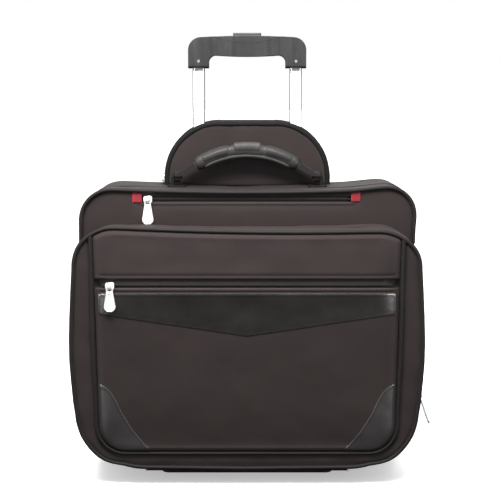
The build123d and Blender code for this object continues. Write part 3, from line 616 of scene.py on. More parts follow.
# ---------------- materials
class Shader:
    """Short names for building the nodes of a material or world."""

    def __init__(self, name, owner=None):
        self.owner = owner or bpy.data.materials.new(name)
        self.owner.use_nodes = True
        self.tree = self.owner.node_tree
        self.bsdf = self.tree.nodes.get("Principled BSDF")

    def put(self, node, key, value):
        """Sets one input of a node, or links it."""
        entry = node.inputs[key]
        if isinstance(value, bpy.types.NodeSocket):
            self.tree.links.new(value, entry)
        else:
            entry.default_value = (*value, 1) if entry.type == "RGBA" else value

    def node(self, kind, **values):
        n = self.tree.nodes.new(kind)
        for key, value in values.items():
            if hasattr(n, key):
                setattr(n, key, value)
            else:
                self.put(n, key.replace("_", " "), value)
        return n

    def math(self, operation, *values):
        n = self.node("ShaderNodeMath", operation=operation)
        for k, value in enumerate(values):
            self.put(n, k, value)
        return n.outputs[0]

    def place(self, uv):
        return self.node("ShaderNodeTexCoord").outputs["UV" if uv else "Object"]

    def noise(self, where, scale, detail=3.0, stretch=None):
        if stretch:
            where = self.node("ShaderNodeMapping", Scale=stretch, Vector=where).outputs[0]
        return self.node("ShaderNodeTexNoise", Scale=scale, Detail=detail, Vector=where).outputs["Fac"]

    def ramp(self, value, low, high, a, b):
        """A colour that goes from a to b as value goes from low to high."""
        n = self.node("ShaderNodeValToRGB")
        for element, at, colour in zip(n.color_ramp.elements, (low, high), (a, b)):
            element.position, element.color = at, (*colour, 1)
        self.put(n, 0, value)
        return n.outputs[0]

    def mix(self, share, a, b, blend="MIX"):
        n = self.node("ShaderNodeMix", data_type="RGBA", blend_type=blend)
        for k, value in ((0, share), (6, a), (7, b)):
            self.put(n, k, value)
        return n.outputs[2]

    def span(self, value, low, high):
        return self.node("ShaderNodeMapRange", To_Min=low, To_Max=high, Value=value).outputs[0]

    # Reads the share of paler colour: partly wear, partly a painted highlight.
    def wear_and_highlight(self):
        return self.node("ShaderNodeAttribute", attribute_name="wear_and_highlight").outputs["Fac"]

    def bump(self, height, distance, strength, **under):
        values = {"Strength": strength, "Distance": distance, "Height": height, **under}
        return self.node("ShaderNodeBump", **values).outputs[0]

    def done(self, **values):
        for key, value in values.items():
            self.put(self.bsdf, key.replace("_", " "), value)
        return self.owner


def woven(name, dark, light, pitch=0.9, uv=True, roughness=0.72, sheen=0.05, depth=0.00012, diagonal=True):
    """Woven cloth: threads both ways, uneven dye, and paler colour at sewn and folded edges, partly wear and
    partly a painted highlight.
    """
    s = Shader(name)
    where = s.place(uv)
    parts = s.node("ShaderNodeSeparateXYZ", Vector=where)
    turn = TWO_PI / (pitch * MM)
    u, v = parts.outputs[:2]
    if not uv:
        u, v = s.math("ADD", u, v), parts.outputs[2]
    warp, weft = (s.math("SINE", s.math("MULTIPLY", a, turn)) for a in (u, v))
    height = s.math("MULTIPLY", warp, weft)
    if diagonal:
        lean = s.math("SINE", s.math("MULTIPLY", s.math("ADD", u, v), turn / 2))
        height = s.math("ADD", height, s.math("MULTIPLY", lean, 0.8))
    height = s.math("MULTIPLY_ADD", height, 0.25)
    fibres = s.noise(where, 2600, 2)
    threads = s.math("ADD", height, s.math("MULTIPLY", fibres, 0.8))
    patchy = s.noise(where, 14, 4)
    colour = s.ramp(patchy, 0.3, 0.72, dark, light)
    fleck = s.mix(0.5, (1.0, 1.0, 1.0), s.span(fibres, 0.82, 1.18), "MULTIPLY")
    colour = s.mix(1.0, colour, fleck, "MULTIPLY")
    # Paler colour where the mesh marks it: partly rub wear, partly a painted highlight along edges and folds.
    rub_and_painted_highlight = s.math("MULTIPLY", s.wear_and_highlight(), s.span(s.noise(where, 90), 0.0, 0.7))
    slack = s.bump(s.noise(where, 30), 0.0012, 0.35)
    return s.done(
        Base_Color=s.mix(rub_and_painted_highlight, colour, tuple(min(1, c * 1.9 + 0.01) for c in light)),
        Roughness=s.span(patchy, roughness - 0.06, roughness + 0.08),
        Normal=s.bump(threads, depth, 0.8, Normal=slack),
        Sheen_Weight=sheen, Sheen_Roughness=0.45, Specular_IOR_Level=0.16,
    )


def leather(name, dark, light, roughness):
    """Coated faux leather: pebbled grain, a broad soft gloss, and paler edges, partly rubbed wear and partly
    a painted highlight.
    """
    s = Shader(name)
    where = s.place(True)
    cells = s.node("ShaderNodeTexVoronoi", feature="SMOOTH_F1", Scale=620, Vector=where).outputs["Distance"]
    grain = s.math("ADD", cells, s.math("MULTIPLY", s.noise(where, 1800), 0.25))
    patchy = s.noise(where, 22, 4)
    colour = s.ramp(patchy, 0.25, 0.75, dark, light)
    # The colour of the paler edges: partly wear, partly a painted highlight.
    pale = tuple(min(1, c * 1.8 + 0.012) for c in light)
    return s.done(
        Base_Color=s.mix(s.math("MULTIPLY", s.wear_and_highlight(), 0.4), colour, pale),
        Roughness=s.span(patchy, roughness - 0.05, roughness + 0.1),
        Normal=s.bump(grain, 0.00016, 0.55),
        Specular_IOR_Level=0.8, Coat_Weight=0.15, Coat_Roughness=0.3,
    )


def plastic(name, dark, light, roughness=0.42, grain=1500, depth=0.00008, level=0.5):
    """Moulded plastic or rubber with a fine spark-eroded grain and faint scuffs."""
    s = Shader(name)
    where = s.place(False)
    pits = s.noise(where, grain, 2)
    scuff = s.noise(where, 160, 5, stretch=(1.0, 1.0, 0.15))
    worn = s.span(scuff, roughness - 0.1, roughness + 0.12)
    return s.done(
        Base_Color=s.ramp(s.noise(where, 35, 4), 0.3, 0.75, dark, light),
        Roughness=s.math("ADD", worn, s.math("MULTIPLY", pits, 0.05)),
        Normal=s.bump(pits, depth, 0.6), Specular_IOR_Level=level,
    )


def metal(name, colour, roughness, share=1.0, stretch=(1.0, 1.0, 1.0), scale=900, depth=0.00002, sides=None):
    """Plated or brushed metal with fine scratches. Faces that look along X can be given another colour, a
    painted shade for sides that turn away.
    """
    s = Shader(name)
    where = s.place(False)
    lines = s.noise(where, scale, 3, stretch=stretch)
    shade = s.ramp(s.noise(where, 40), 0.2, 0.8, tuple(c * 0.9 for c in colour), colour)
    # Painted shade: faces turned towards X get the darker colour given in sides.
    if sides is not None:
        normal = s.node("ShaderNodeTexCoord").outputs["Normal"]
        across = s.math("ABSOLUTE", s.node("ShaderNodeSeparateXYZ", Vector=normal).outputs[0])
        turned = s.node(
            "ShaderNodeMapRange", interpolation_type="SMOOTHSTEP", From_Min=0.35, From_Max=0.8, Value=across
        )
        shade = s.mix(turned.outputs[0], shade, sides)
    return s.done(
        Base_Color=shade, Roughness=s.span(lines, roughness * 0.7, roughness * 1.4),
        Normal=s.bump(lines, depth, 0.4), Metallic=share,
    )


shell = woven("shell_cloth", (0.0185, 0.0125, 0.0123), (0.0235, 0.0163, 0.0157))
# A darker copy of the shell cloth for the case's top side walls: painted shade against the overhead light
# they catch.
shaded_wall_cloth = woven("shaded_wall_cloth", (0.0125, 0.0086, 0.0085), (0.0165, 0.0114, 0.011))
lining = woven("lining_cloth", (0.028, 0.027, 0.029), (0.042, 0.040, 0.042), 0.5, roughness=0.6)
# Nearly black tape: partly the tape's own dark colour, partly painted shade for the dome's rim, darkened
# against the key light on its top.
dark_binding_and_painted_shade = woven(
    "binding_tape_and_painted_shade", (0.0026, 0.0021, 0.0021), (0.0042, 0.0034, 0.0034), 1.3, sheen=0.02, diagonal=False
)
piping_cloth = woven("piping_cloth", (0.0078, 0.0057, 0.0057), (0.0115, 0.0086, 0.0084), 1.1, roughness=0.55)
tape_cloth = woven(
    "zip_tape_cloth", (0.015, 0.0113, 0.0113), (0.021, 0.016, 0.016), 0.8, roughness=0.62, diagonal=False
)
webbing = woven(
    "strap_web", (0.008, 0.0065, 0.0065), (0.014, 0.012, 0.012), 1.6, uv=False, depth=0.0003, diagonal=False
)
red_cloth = woven("red_tab_cloth", (0.17, 0.010, 0.016), (0.26, 0.022, 0.030), 1.0, roughness=0.6)
thread = woven("sewing_thread", (0.010, 0.008, 0.008), (0.018, 0.014, 0.014), 0.4, uv=False, diagonal=False)
board_cloth = woven("board_cloth", (0.018, 0.017, 0.018), (0.026, 0.024, 0.026), 0.8, uv=False)
band_leather = leather("band_leather", (0.0088, 0.0068, 0.0070), (0.014, 0.011, 0.0112), 0.27)
patch_leather = leather("patch_leather", (0.012, 0.0098, 0.0098), (0.019, 0.0155, 0.0158), 0.4)
PALE_METAL = (0.97, 0.97, 0.95)
chrome = metal("plated_zinc", PALE_METAL, 0.25, 0.4)
# The tubes' left and right sides are painted grey: painted shade and reflection where they turn away.
tube_metal = metal(
    "brushed_tube", PALE_METAL, 0.3, 0.3, (1.0, 1.0, 0.02), 1800, 0.00001, sides=(0.13, 0.13, 0.115)
)
steel = metal("screw_steel", (0.55, 0.55, 0.56), 0.3)
coil_plastic = plastic("zip_coil_nylon", (0.009, 0.007, 0.007), (0.013, 0.0105, 0.0105), 0.75, level=0.15)
grip_plastic = plastic("grip_plastic", (0.012, 0.0115, 0.012), (0.020, 0.019, 0.0195), 0.30)
button_plastic = plastic("button_plastic", (0.020, 0.019, 0.0195), (0.030, 0.029, 0.0295), 0.36)
base_plastic = plastic("base_plastic", (0.007, 0.0065, 0.007), (0.012, 0.0115, 0.012), 0.5, 900, 0.00018)
anchor_plastic = plastic(
    "anchor_plastic", (0.005, 0.0045, 0.0045), (0.008, 0.0075, 0.0075), 0.7, 900, 0.0001, 0.12
)
hub_plastic = plastic("hub_plastic", (0.06, 0.06, 0.063), (0.085, 0.085, 0.088), 0.42)
tyre_rubber = plastic("tyre_rubber", (0.009, 0.009, 0.0095), (0.015, 0.015, 0.0155), 0.72, 1100, 0.00015, 0.3)
handle_rubber = plastic(
    "handle_rubber", (0.012, 0.0105, 0.010), (0.019, 0.017, 0.0165), 0.46, 1300, 0.0001, 0.35
)
handle_pad = plastic(
    "handle_pad_rubber", (0.030, 0.027, 0.026), (0.044, 0.040, 0.038), 0.55, 900, 0.00015, 0.35
)
handle_under = plastic("handle_under_rubber", (0.006, 0.005, 0.005), (0.010, 0.0085, 0.0085), 0.6)


# ---------------- organizer: border, piping, side walls
def piping(name, path, radius, y, body, node=None, closed=False, out=0.0):
    cord = sweep(name, path, cord_profile(radius, y, out), closed)
    finish_piece(cord, piping_cloth, body, node)


piping("outer_piping_cord", outline(POCKET, 1.4, 3.2), 2.5, -89.4, "organizer_lid", "outer_piping", True)
inner_line = part_of(tuple(np.add(PANEL, (2.4, 2.4, -2.4, 2.4, 0, 2.4, 2.4))), below=309, step=3.2)
piping("inner_piping_cord", inner_line, 2.35, -89.6, "organizer_lid", "inner_piping")
main_line = part_of(MAIN_FACE, above=296, step=3.2, inset=1.4)
piping("main_piping_cord", main_line, 2.5, -38.4, "main_lid", "main_piping")

border_loop = outline(POCKET, 1.7)
border_hole = outline(PANEL, -4.8)
flat, tris = net(border_loop, 4.5, holes=[outline(PANEL, 7)])
outer_d = distance(flat, border_loop)
inner_d = np.maximum(distance(flat, border_hole), 0.01)
hump = 4 * outer_d * inner_d / (outer_d + inner_d) ** 2
border_y = -87.0 - 1.7 * hump * inside(flat, border_loop) * ~inside(flat, border_hole)
# The border is painted paler near its outer edge: partly wear, partly a painted highlight.
border = lift("organizer_border_cloth", flat, tris, border_y, np.clip(1 - outer_d / 5, 0, 1))
slacken(border, 0.8, 26, 3.0)
front_wall = sweep("front_wall", part_of(POCKET, above=ORG_SPLIT + 0.4), gusset_profile(-87.2, -64.4, 0.9))
slacken(front_wall, 1.1, 24, 5.0)
LIP = [(-2.3, -87.4), (-1.5, -86.4), (-0.8, -84.9), (-0.7, -83.4)]  # the border's turned lower edge
front_lip = sweep("front_lip", part_of(POCKET, below=ORG_SPLIT + 2), LIP)
for o in (border, front_wall, front_lip):
    finish_piece(o, shell)
border = join("organizer_border_cloth", [border, front_wall, front_lip])
finish_piece(border, shell, "organizer_lid", "organizer_border")

high_path = part_of(POCKET, above=ORG_SPLIT)
REAR_FLANGE = [(-3.4, -36.7), (-5.6, -36.8), (-8.2, -36.7)]  # the wall's sewn-down rear edge
low_path = part_of(POCKET, below=ORG_SPLIT)
wall_low = sweep("wall_low", low_path, gusset_profile(-83.0, -36.4, 0.9, 15) + REAR_FLANGE)
wall_high = sweep("wall_high", high_path, gusset_profile(-54.6, -36.4, 0.9) + REAR_FLANGE)
for o in (wall_low, wall_high):
    slacken(o, 1.0, 26, 8.0)
    finish_piece(o, shell)
rear_cloth = join("organizer_rear_cloth", [wall_low, wall_high])
finish_piece(rear_cloth, shell, "main_lid", "organizer_gusset_rear")


# ---------------- zips
def ring_zip(name, path, y, slot_y0, slot_y1, front_body, rear_body, node):
    """The zip round a side wall: a tape and half a coil on each of its two bodies."""
    fine = resample(path, PITCH, closed=False)
    up = np.insert(normals_of(fine, False), 1, 0.0, axis=1)
    depth = np.repeat([[0.0, 1.0, 0.0]], len(fine), 0)
    line = np.insert(fine + normals_of(fine, False) * -1.5, 1, y, axis=1)
    halves = ((-1, slot_y0, y - 0.55, front_body, None), (1, slot_y1, y + 0.55, rear_body, node))
    for side, y0, y1, body, stands_for in halves:
        section = [(-2.2, y0), (-1.7, (y0 + y1) / 2), (-1.8, y1)]
        tape = sweep(f"{name}_tape_{body}", resample(path, 4, closed=False), section)
        finish_piece(tape, tape_cloth)
        beads = teeth(f"{name}_teeth_{body}", line + depth * (side * 0.5), depth, up, side)
        finish_piece(join(f"{name}_{body}_half", [tape, beads]), None, body, stands_for)


def straight_zip(name, z, half_length, y, low, high, body, node):
    """A straight zip on a front face, with both tapes and both halves of the coil."""
    xs = np.linspace(-half_length, half_length, int(half_length / 2))
    ends_in = 7 * smooth((np.abs(xs) - half_length + 12) / 14)
    pieces = []
    for k, rows in enumerate((np.linspace(low, z - 0.5, 4), np.linspace(z + 0.5, high, 4))):
        verts = [
            (x, y + 0.6 + 0.5 * math.sin(math.pi * r / 3) + bend, h)
            for r, h in enumerate(rows)
            for x, bend in zip(xs, ends_in)
        ]
        uvs = np.array([(x, h) for h in rows for x in xs])
        tape = mesh_object(f"{name}_tape_{k}", verts, grid_faces(4, len(xs)), uvs)
        side = 1 if k else -1
        line = [(4 - half_length, y, z + side * 0.5), (half_length - 4, y, z + side * 0.5)]
        beads = teeth(f"{name}_teeth_{k}", line, (0, 0, 1), (0, -1, 0), side)
        pieces += [finish_piece(tape, tape_cloth), beads]
    finish_piece(join(name, pieces), None, body, node)


ORGANIZER_TAPES = (-65.5, -54.0)
ring_zip(
    "organizer_zip", high_path, ORGANIZER_ZIP_Y, *ORGANIZER_TAPES, "organizer_lid", "main_lid",
    "organizer_zip_coil",
)
case_high = part_of(CASE, above=MAIN_SPLIT)
ring_zip("main_zip", case_high, MAIN_ZIP_Y, -3.0, 10.0, "main_lid", "case", "main_zip_coil")
dome_high = part_of(DOME, above=366, step=3)
ring_zip("garage_zip", dome_high, GARAGE_ZIP_Y, 52.0, 59.0, "case", "case", "garage_zip_coil")
straight_zip("front_zip", FRONT_ZIP, 180, -96.0, 241.5, 262, "organizer_lid", "front_zip_coil")
straight_zip("top_zip", TOP_ZIP, 136, -34.6, 344, 357, "main_lid", "top_zip_coil")


# ---------------- organizer: the padded front
pocket_inner = resample(raw_outline(POCKET, 4.2), 1.0)
pocket_top = pocket_inner[(pocket_inner[:, 0] >= 0) & (pocket_inner[:, 1] > 200)]
pocket_top = pocket_top[np.argsort(pocket_top[:, 0])]


def top_of_pocket(x):
    return np.interp(np.abs(x), pocket_top[:, 0], pocket_top[:, 1])


TALL_PANEL = (182, 187, 43, 330, 5, 33, 4)  # reaches over the pocket's top, to be cut by it
panel_shape = outline(TALL_PANEL, 0.3)
panel_shape[:, 1] = np.minimum(panel_shape[:, 1], top_of_pocket(panel_shape[:, 0]))
zip_low, zip_high = 248.3, 258.6
lower_loop = resample(clip(panel_shape, (300, zip_low), (-300, zip_low)), 4.0)
upper_loop = resample(clip(panel_shape, (-300, zip_high), (300, zip_high)), 4.0)
HEM = 4.9  # width of the turned edge beside a zip


def front_sheet(name, loop, zip_z, seed, cap, node=None):
    """One of the front's two sheets: crowned seams, a stuffed middle, slack. Returns its tree."""
    flat, tris = net(loop, 4.6, (0.9, 2.0, 3.4, 4.3, 4.9, 5.5, 6.6))
    seam = distance(flat, panel_shape)
    slot_d = np.abs(flat[:, 1] - zip_z)
    under_top = top_of_pocket(flat[:, 0]) - flat[:, 1]
    y = -89.6 - 3.4 * crown(seam, 6.5) + 1.7 * (1 - crown(slot_d, 1.6)) * (seam > 2)
    y -= 4.8 * eased(seam / 26) * eased(under_top / 58) * eased((flat[:, 1] - 43) / 70)
    y += 0.8 * np.exp(-(((slot_d - HEM) / 0.8) ** 2)) * np.clip(seam / 8, 0, 1)
    # Paler cloth on the seam's shoulder and along the zip's folded edge: partly wear, partly a painted
    # highlight of the fold.
    wear_and_highlight = np.maximum(np.clip(1 - np.abs(seam - 4) / 5, 0, 1) * 0.5, np.clip(1 - slot_d / 3.0, 0, 1))
    sheet = lift(name, flat, tris, y, wear_and_highlight)
    inflate(sheet, np.where((seam < 6.0) | (slot_d < 7.5))[0], -0.5, cap)
    slack = wobble(flat, 46, seed) * 0.9 + wobble(flat, 17, seed + 9) * 0.25
    calm = np.clip((seam - 4) / 14, 0, 1) * np.clip((slot_d - 8) / 14, 0, 1)
    for v, s, c in zip(sheet.data.vertices, slack, calm):
        v.co.y -= s * c * MM
    sheet.data.update()
    finish_piece(sheet, shell, "organizer_lid", node)
    return surface_of(sheet)


low_tree = front_sheet("front_low_cloth", lower_loop, zip_low, 1.3, 2.4, "front_panel")
high_tree = front_sheet("front_high_cloth", upper_loop, zip_high, 4.4, 1.8)


def applique(name, loop, material, edge_rub_and_highlight, node=None, thick=0.55):
    """A leather piece sewn onto the front, its edge turned under."""
    flat, tris = net(loop, 4.0, rows=(0.6, 1.5, 3.0))
    d = distance(flat, loop)
    under = np.array([depth_at(low_tree, x, z, -97.8) for x, z in flat])
    y = under + 0.15 - (0.15 + thick) * smooth(d / 2.2) + 0.25 * np.exp(-(((d - 3.0) / 0.7) ** 2))
    # The edge is painted paler by the given share: partly wear, partly a painted highlight.
    piece = lift(name, flat, tris, y, edge_rub_and_highlight * np.clip(1 - d / 2.4, 0, 1))
    finish_piece(piece, material, "organizer_lid", node)
    return piece


def stitch_loop(name, loop, inset):
    """Stitches along a loop, on the lower front's surface."""
    line = loop - normals_of(loop) * inset
    dense = resample(np.vstack([line, line[:1]]), STITCH_STEP, closed=False)
    stitches(name, [(x, depth_at(low_tree, x, z) - 1.0, z) for x, z in dense], "organizer_lid")


band = np.array([(-181.6, 214.6), (0, 187), (181.6, 214.6), (181.8, 242.3), (-181.8, 242.3)])
applique("trim_band_leather", resample(band, 3.6), band_leather, 0.1, "trim_band")
stitch_loop("band_stitches", resample(band, 3.0), 3.0)

# The patches' free edge: a long slope and a short steep top beside the piping.
PATCH_EDGE = [(117.5, 44.6), (128.5, 57.0), (139.1, 70.6), (147.0, 83.5), (153.1, 94.5), (159.5, 108.5)]
PATCH_EDGE += [(165.6, 119.5), (171.0, 125.0), (180.2, 130.5)]
for side, word in ((-1, "left"), (1, "right")):
    edge = np.array(PATCH_EDGE) * (side, 1)
    corner = [p for p in outline(PANEL, 1.6, 3.0) if p[0] * side > abs(edge[0][0]) and p[1] < edge[-1][1]]
    corner.sort(key=lambda p: math.atan2(p[1] - 150, p[0] * side - 60))
    patch = np.vstack([corner, edge[::-1]])
    patch = resample(patch[::side], 3.2)
    # The patches' edges are painted much paler than the band's: a painted highlight along their slopes, with
    # some wear.
    applique(f"corner_patch_{word}", patch, patch_leather, 0.8)
    stitch_loop(f"patch_stitches_{word}", patch, 2.6)
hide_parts("corner_patches")

# Rows of stitching beside the zip's folded edges.
for name, z, tree in (("zip_row_low", zip_low - HEM, low_tree), ("zip_row_high", zip_high + HEM, high_tree)):
    row = [(x, depth_at(tree, x, z) - 0.1, z) for x in np.arange(-175, 175.5, STITCH_STEP)]
    stitches(name, row, "organizer_lid")


# ---------------- main lid
main_shape = outline(MAIN_FACE, 2.6)
SLOT_HALF, SLOT_HIGH = 134.0, 3.6  # half length and half height of the upper zip's opening
corners = np.array([(-SLOT_HALF, -1), (SLOT_HALF, -1), (SLOT_HALF, 1), (-SLOT_HALF, 1)])
slot_loop = resample(corners * (1, SLOT_HIGH) + (0, TOP_ZIP), 3.6)
flat, tris = net(main_shape, 5.0, (0.9, 2.0, 3.4, 4.4, 5.6), slot=slot_loop)
seam = distance(flat, main_shape)
slot_d = distance(flat, slot_loop)
y = -35.0 - 1.3 * crown(seam, 3.0) + 1.2 * (1 - crown(slot_d, 1.6))
y += 0.6 * np.exp(-(((slot_d - 4.4) / 0.8) ** 2)) * (seam > 6)
above_pocket = np.clip((flat[:, 1] - 300) / 30, 0, 1)
strip = above_pocket * np.clip((slot_d - 6) / 10, 0, 1) * np.clip(seam / 12, 0, 1)
y -= strip * (wobble(flat, 38, 2.2) * 0.9 + 0.6)
# Paler cloth along the zip's folded edges: partly wear, partly a painted highlight.
main_panel = lift("main_panel_cloth", flat, tris, y, np.clip(1 - slot_d / 2.6, 0, 1))
main_tree = surface_of(main_panel)
finish_piece(main_panel, shell, "main_lid", "main_panel")
main_rows = []
for side in (-1, 1):
    z = TOP_ZIP + side * (SLOT_HIGH + 4.4)
    row = [(x, depth_at(main_tree, x, z, -36) - 0.1, z) for x in np.arange(-137, 137.5, STITCH_STEP)]
    main_rows.append(stitches(f"top_zip_row_{side}", row))
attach(join("top_zip_rows", main_rows), "main_lid")

LID_FLANGE = [(-8.2, -34.0), (-4.4, -34.1), (-2.8, -35.2)]  # sewn down behind the front panel
lid_wall = sweep("main_lid_wall_cloth", case_high, LID_FLANGE + gusset_profile(-36.2, -2.4, 0.9, 13))
slacken(lid_wall, 1.1, 28, 11.0)
# This wall gets the darker copy of the shell cloth: painted shade.
finish_piece(lid_wall, shaded_wall_cloth, "main_lid", "main_lid_gusset")

tabs = []
for k, (tab_x, tab_z, wide) in enumerate(((-137.6, 354.4, 6.0), (135.8, 355.6, 5.8))):
    corners = np.array([(-wide, -7.4), (wide, -7.4), (wide, 7.4), (-wide, 7.4)])
    loop = resample(corners + (tab_x, tab_z), 1.6)
    flat, tris = net(loop, 2.2, rows=(0.5, 1.2))
    d = distance(flat, loop)
    y = -36.5 - 1.0 * crown(d, 1.2) + 0.2 * np.cos(flat[:, 0] * 1.1)
    tabs.append(finish_piece(lift(f"tab_{k}", flat, tris, y, np.clip(1 - d / 1.4, 0, 1)), red_cloth))
finish_piece(join("zip_end_tab_cloth", tabs), red_cloth, "main_lid", "zip_end_tabs")


# ---------------- rear half
def under_bezel(c):
    return abs(c.x) < 80 and c.y > 61 and c.z > 300


rear_wall = sweep("rear_wall_cloth", case_high, gusset_profile(9.2, 92.6, 1.6, 19))
slacken(rear_wall, 1.6, 34, 14.0)
drop_faces(rear_wall, under_bezel)
# This wall gets the darker copy of the shell cloth: painted shade.
finish_piece(rear_wall, shaded_wall_cloth, "case", "rear_gusset")
piping("back_piping_cord", part_of(CASE, above=HOUSING_TOP), 2.4, BACK_Y, "case", out=-0.9)

# The back follows the case above the wheel housings, and the garage's dome.
right_case = [p for p in raw_outline(CASE, 1.0) if p[0] > 0 and p[1] > HOUSING_TOP]
side_start = min(right_case, key=lambda p: p[1])[0]
right = [(0, 12), (HOUSING_X, 12), (HOUSING_X, HOUSING_TOP), (side_start, HOUSING_TOP)]
right += [p for p in right_case if p[0] > 109.5] + [(108.4, 363.4)]
right += [p for p in raw_outline(DOME, 1.0) if p[0] > 0 and p[1] > 366] + [(0.0, 446.0)]
back_line = np.array(right + [(-p[0], p[1]) for p in right[-2:0:-1]])
back_loop = resample(back_line, 4.0)
flat, tris = net(back_loop, 5.2)
x, z = np.abs(flat[:, 0]), flat[:, 1]
back_d = distance(flat, back_loop)
quilt = np.minimum(np.abs(x - 100), np.abs(z - 330) + 1000 * (x > 100))
groove = np.exp(-((quilt / 2.2) ** 2)) * (z < 330)
back_y = BACK_Y + 2.4 * crown(back_d, 5.0) - 1.2 * groove
back_piece = lift("back_panel_cloth", flat, tris[:, ::-1], back_y, np.clip(1 - back_d / 6, 0, 1))
inflate(back_piece, np.where((back_d < 6) | (quilt < 3))[0], 0.35, 2.0)
finish_piece(back_piece, shell, "case", "back_panel")
back_lining = lift("back_lining", *net(resample(back_line, 7.0), 9.0, (2.0,)), 92.6)
finish_piece(back_lining, lining, "case")
rows = []
ROW_Y = BACK_Y + 2.3
for x in (-102.4, -97.6, 97.6, 102.4):
    points = [(x, ROW_Y, z) for z in np.arange(16, 329, STITCH_STEP)]
    rows.append(stitches(f"back_row_{x}", points, facing=1))
for z in (327.6, 332.4):
    points = [(x, ROW_Y, z) for x in np.arange(-97, 97.5, STITCH_STEP)]
    rows.append(stitches(f"back_cross_{z}", points, facing=1))
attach(join("back_stitches", rows), "case")

# ---------------- handle garage
arch = [p for p in outline(DOME, 0.4, 3.5) if p[1] > 366.5]
arch.sort(key=lambda p: math.atan2(p[1] - 366, p[0]))
foot = [(x, 361.4 + 6 * (x / 209) ** 2 + 0.8) for x in np.arange(-108.4, 108.5, 3.5)]
cover_loop = resample(np.vstack([foot, arch]), 3.5)
flat, tris = net(cover_loop)
d = distance(flat, cover_loop)
# A paler band on the cover's crowned shoulder: partly wear, partly a painted highlight.
cover_wear_and_highlight = np.clip(1 - np.abs(d - 5) / 4, 0, 1) * 0.4
cover = lift("garage_cover_cloth", flat, tris, 50.6 - 1.6 * crown(d, 4.0), cover_wear_and_highlight)
inflate(cover, np.where(d < 7)[0], -0.5, 3.2)
for v, s, from_seam in zip(cover.data.vertices, wobble(flat, 34, 7.7), d):
    v.co.y -= s * min(1, from_seam / 20) * 0.7 * MM
finish_piece(cover, shell, "case", "garage_cover")
RIM = [(-3.6, 50.3), (-2.9, 48.4), (0, 47.5), (2.9, 48.6), (3.7, 50.6), (3.7, 52.6), (2.8, 53.4)]
rim_piece = sweep("garage_binding", part_of(DOME, above=364, step=3, inset=3.6), RIM)
slacken(rim_piece, 0.5, 16, 21.0)
# The rim's near-black colour is partly painted shade.
finish_piece(rim_piece, dark_binding_and_painted_shade, "case")
cover_back = lift("garage_cover_lining", *net(cover_loop, 6.0, (2.0,)), 52.4)
finish_piece(cover_back, lining, "case")

garage_side = sweep("garage_wall_cloth", dome_high, gusset_profile(58.4, 92.4, 0.8, 13))
drop_faces(garage_side, lambda c: abs(c.x) < 82)
finish_piece(garage_side, shell, "case", "garage_gusset")
piping("garage_back_piping", part_of(DOME, above=364, step=3), 2.2, BACK_Y, "case", out=-1.0)

# ---------------- base
tray = sweep("base_tray_cloth", part_of(CASE, below=MAIN_SPLIT - 0.4), gusset_profile(-32.2, 92.4, 0.5, 21))
drop_faces(tray, lambda c: abs(c.x) > 143.5 and c.y > 30.5 and c.z < 72.5)
flap_x, flap_y = np.linspace(-126.5, 126.5, 50), np.linspace(-83.2, -31.5, 14)
verts = [
    (x, y, 11.2 + 5.6 * float(smooth((-58 - y) / 25)) + 0.5 * math.sin(x / 14) * math.sin(y / 9))
    for y in flap_y
    for x in flap_x
]
flap = mesh_object("base_flap", verts, grid_faces(14, 50), np.array(verts)[:, :2])
for o in (tray, flap):
    finish_piece(o, shell)
tray = join("base_tray_cloth", [tray, flap])
finish_piece(tray, shell, "case", "base_tray")


# ---------------- folds that join the lids to the case
def fold_strip(name, rows):
    """A strip of cloth across the case, from (y, z) rows in mm."""
    xs = np.linspace(-123.0, 123.0, 48)
    verts = [(x, y, z) for y, z in rows for x in xs]
    uvs = np.array([(x, a) for a in arc_of(rows) for x in xs])
    return finish_piece(mesh_object(name, verts, grid_faces(len(rows), len(xs)), uvs), shell)


ORGANIZER_FOLD = [(-76, 15.6), (-79.5, 16.6), (-82, 17.0), (-83.6, 17.1), (-85.2, 17.0), (-86.6, 16.4)]
organizer_fold = fold_strip("organizer_fold_cloth", ORGANIZER_FOLD)
warp_front(organizer_fold)
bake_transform(organizer_fold)
MAIN_FOLD = [(-70, 14.5), (-76, 16.4), (-80.5, 17.2), (-82.6, 17.9), (-83.0, 18.8), (-82.2, 19.8)]
main_fold = fold_strip("main_fold_cloth", MAIN_FOLD + [(-79, 20.6), (-74, 20.9)])
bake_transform(main_fold)

# ---------------- hard pieces
HARD = (
    # node, edge radius, material, body, slot
    ("front_skid", 1.2, base_plastic, "case", "skid_plastic"),
    ("wheel_housings", 1.5, base_plastic, "case", "skid_plastic"),
    ("guide_bezel", 1.2, grip_plastic, "case", "grip_plastic"),
    ("middle_collars", 0.8, grip_plastic, "trolley_middle", "grip_plastic"),
    ("grip_lower", 4.5, grip_plastic, "trolley_upper", "grip_plastic"),
    ("grip_upper", 1.2, grip_plastic, "trolley_upper", "grip_plastic"),
    ("push_button", 0.8, button_plastic, "release_button", "button_plastic"),
    ("hub_left", 0.8, hub_plastic, "wheel_left", "hub_plastic"),
    ("hub_right", 0.8, hub_plastic, "wheel_right", "hub_plastic"),
    ("handle_anchors", 0.8, anchor_plastic, "case", "anchor_plastic"),
    ("handle_straps", 1.6, webbing, "carry_handle", "strap_webbing"),
)
for node, width, material, body, slot in HARD:
    finish_piece(softened(node, width), material, body, node)

# The tyre's section: half of it as (x, radius), to the edge of the groove in its middle.
TREAD = [(-9.5, 23.1), (-11.6, 24.5), (-12, 27.5), (-10.8, 30.4), (-8.6, 31.6), (-5.2, 31.95)]
TREAD += [(-4.9, 31.0), (-3.9, 31.0), (-3.6, 32)]
for side, word in ((-1, "left"), (1, "right")):
    tyre = lathe(f"tyre_{word}_tread", TREAD + [(-x, r) for x, r in TREAD[::-1]], (side * 165, 70, 32))
    finish_piece(tyre, tyre_rubber, f"wheel_{word}", f"tyre_{word}")

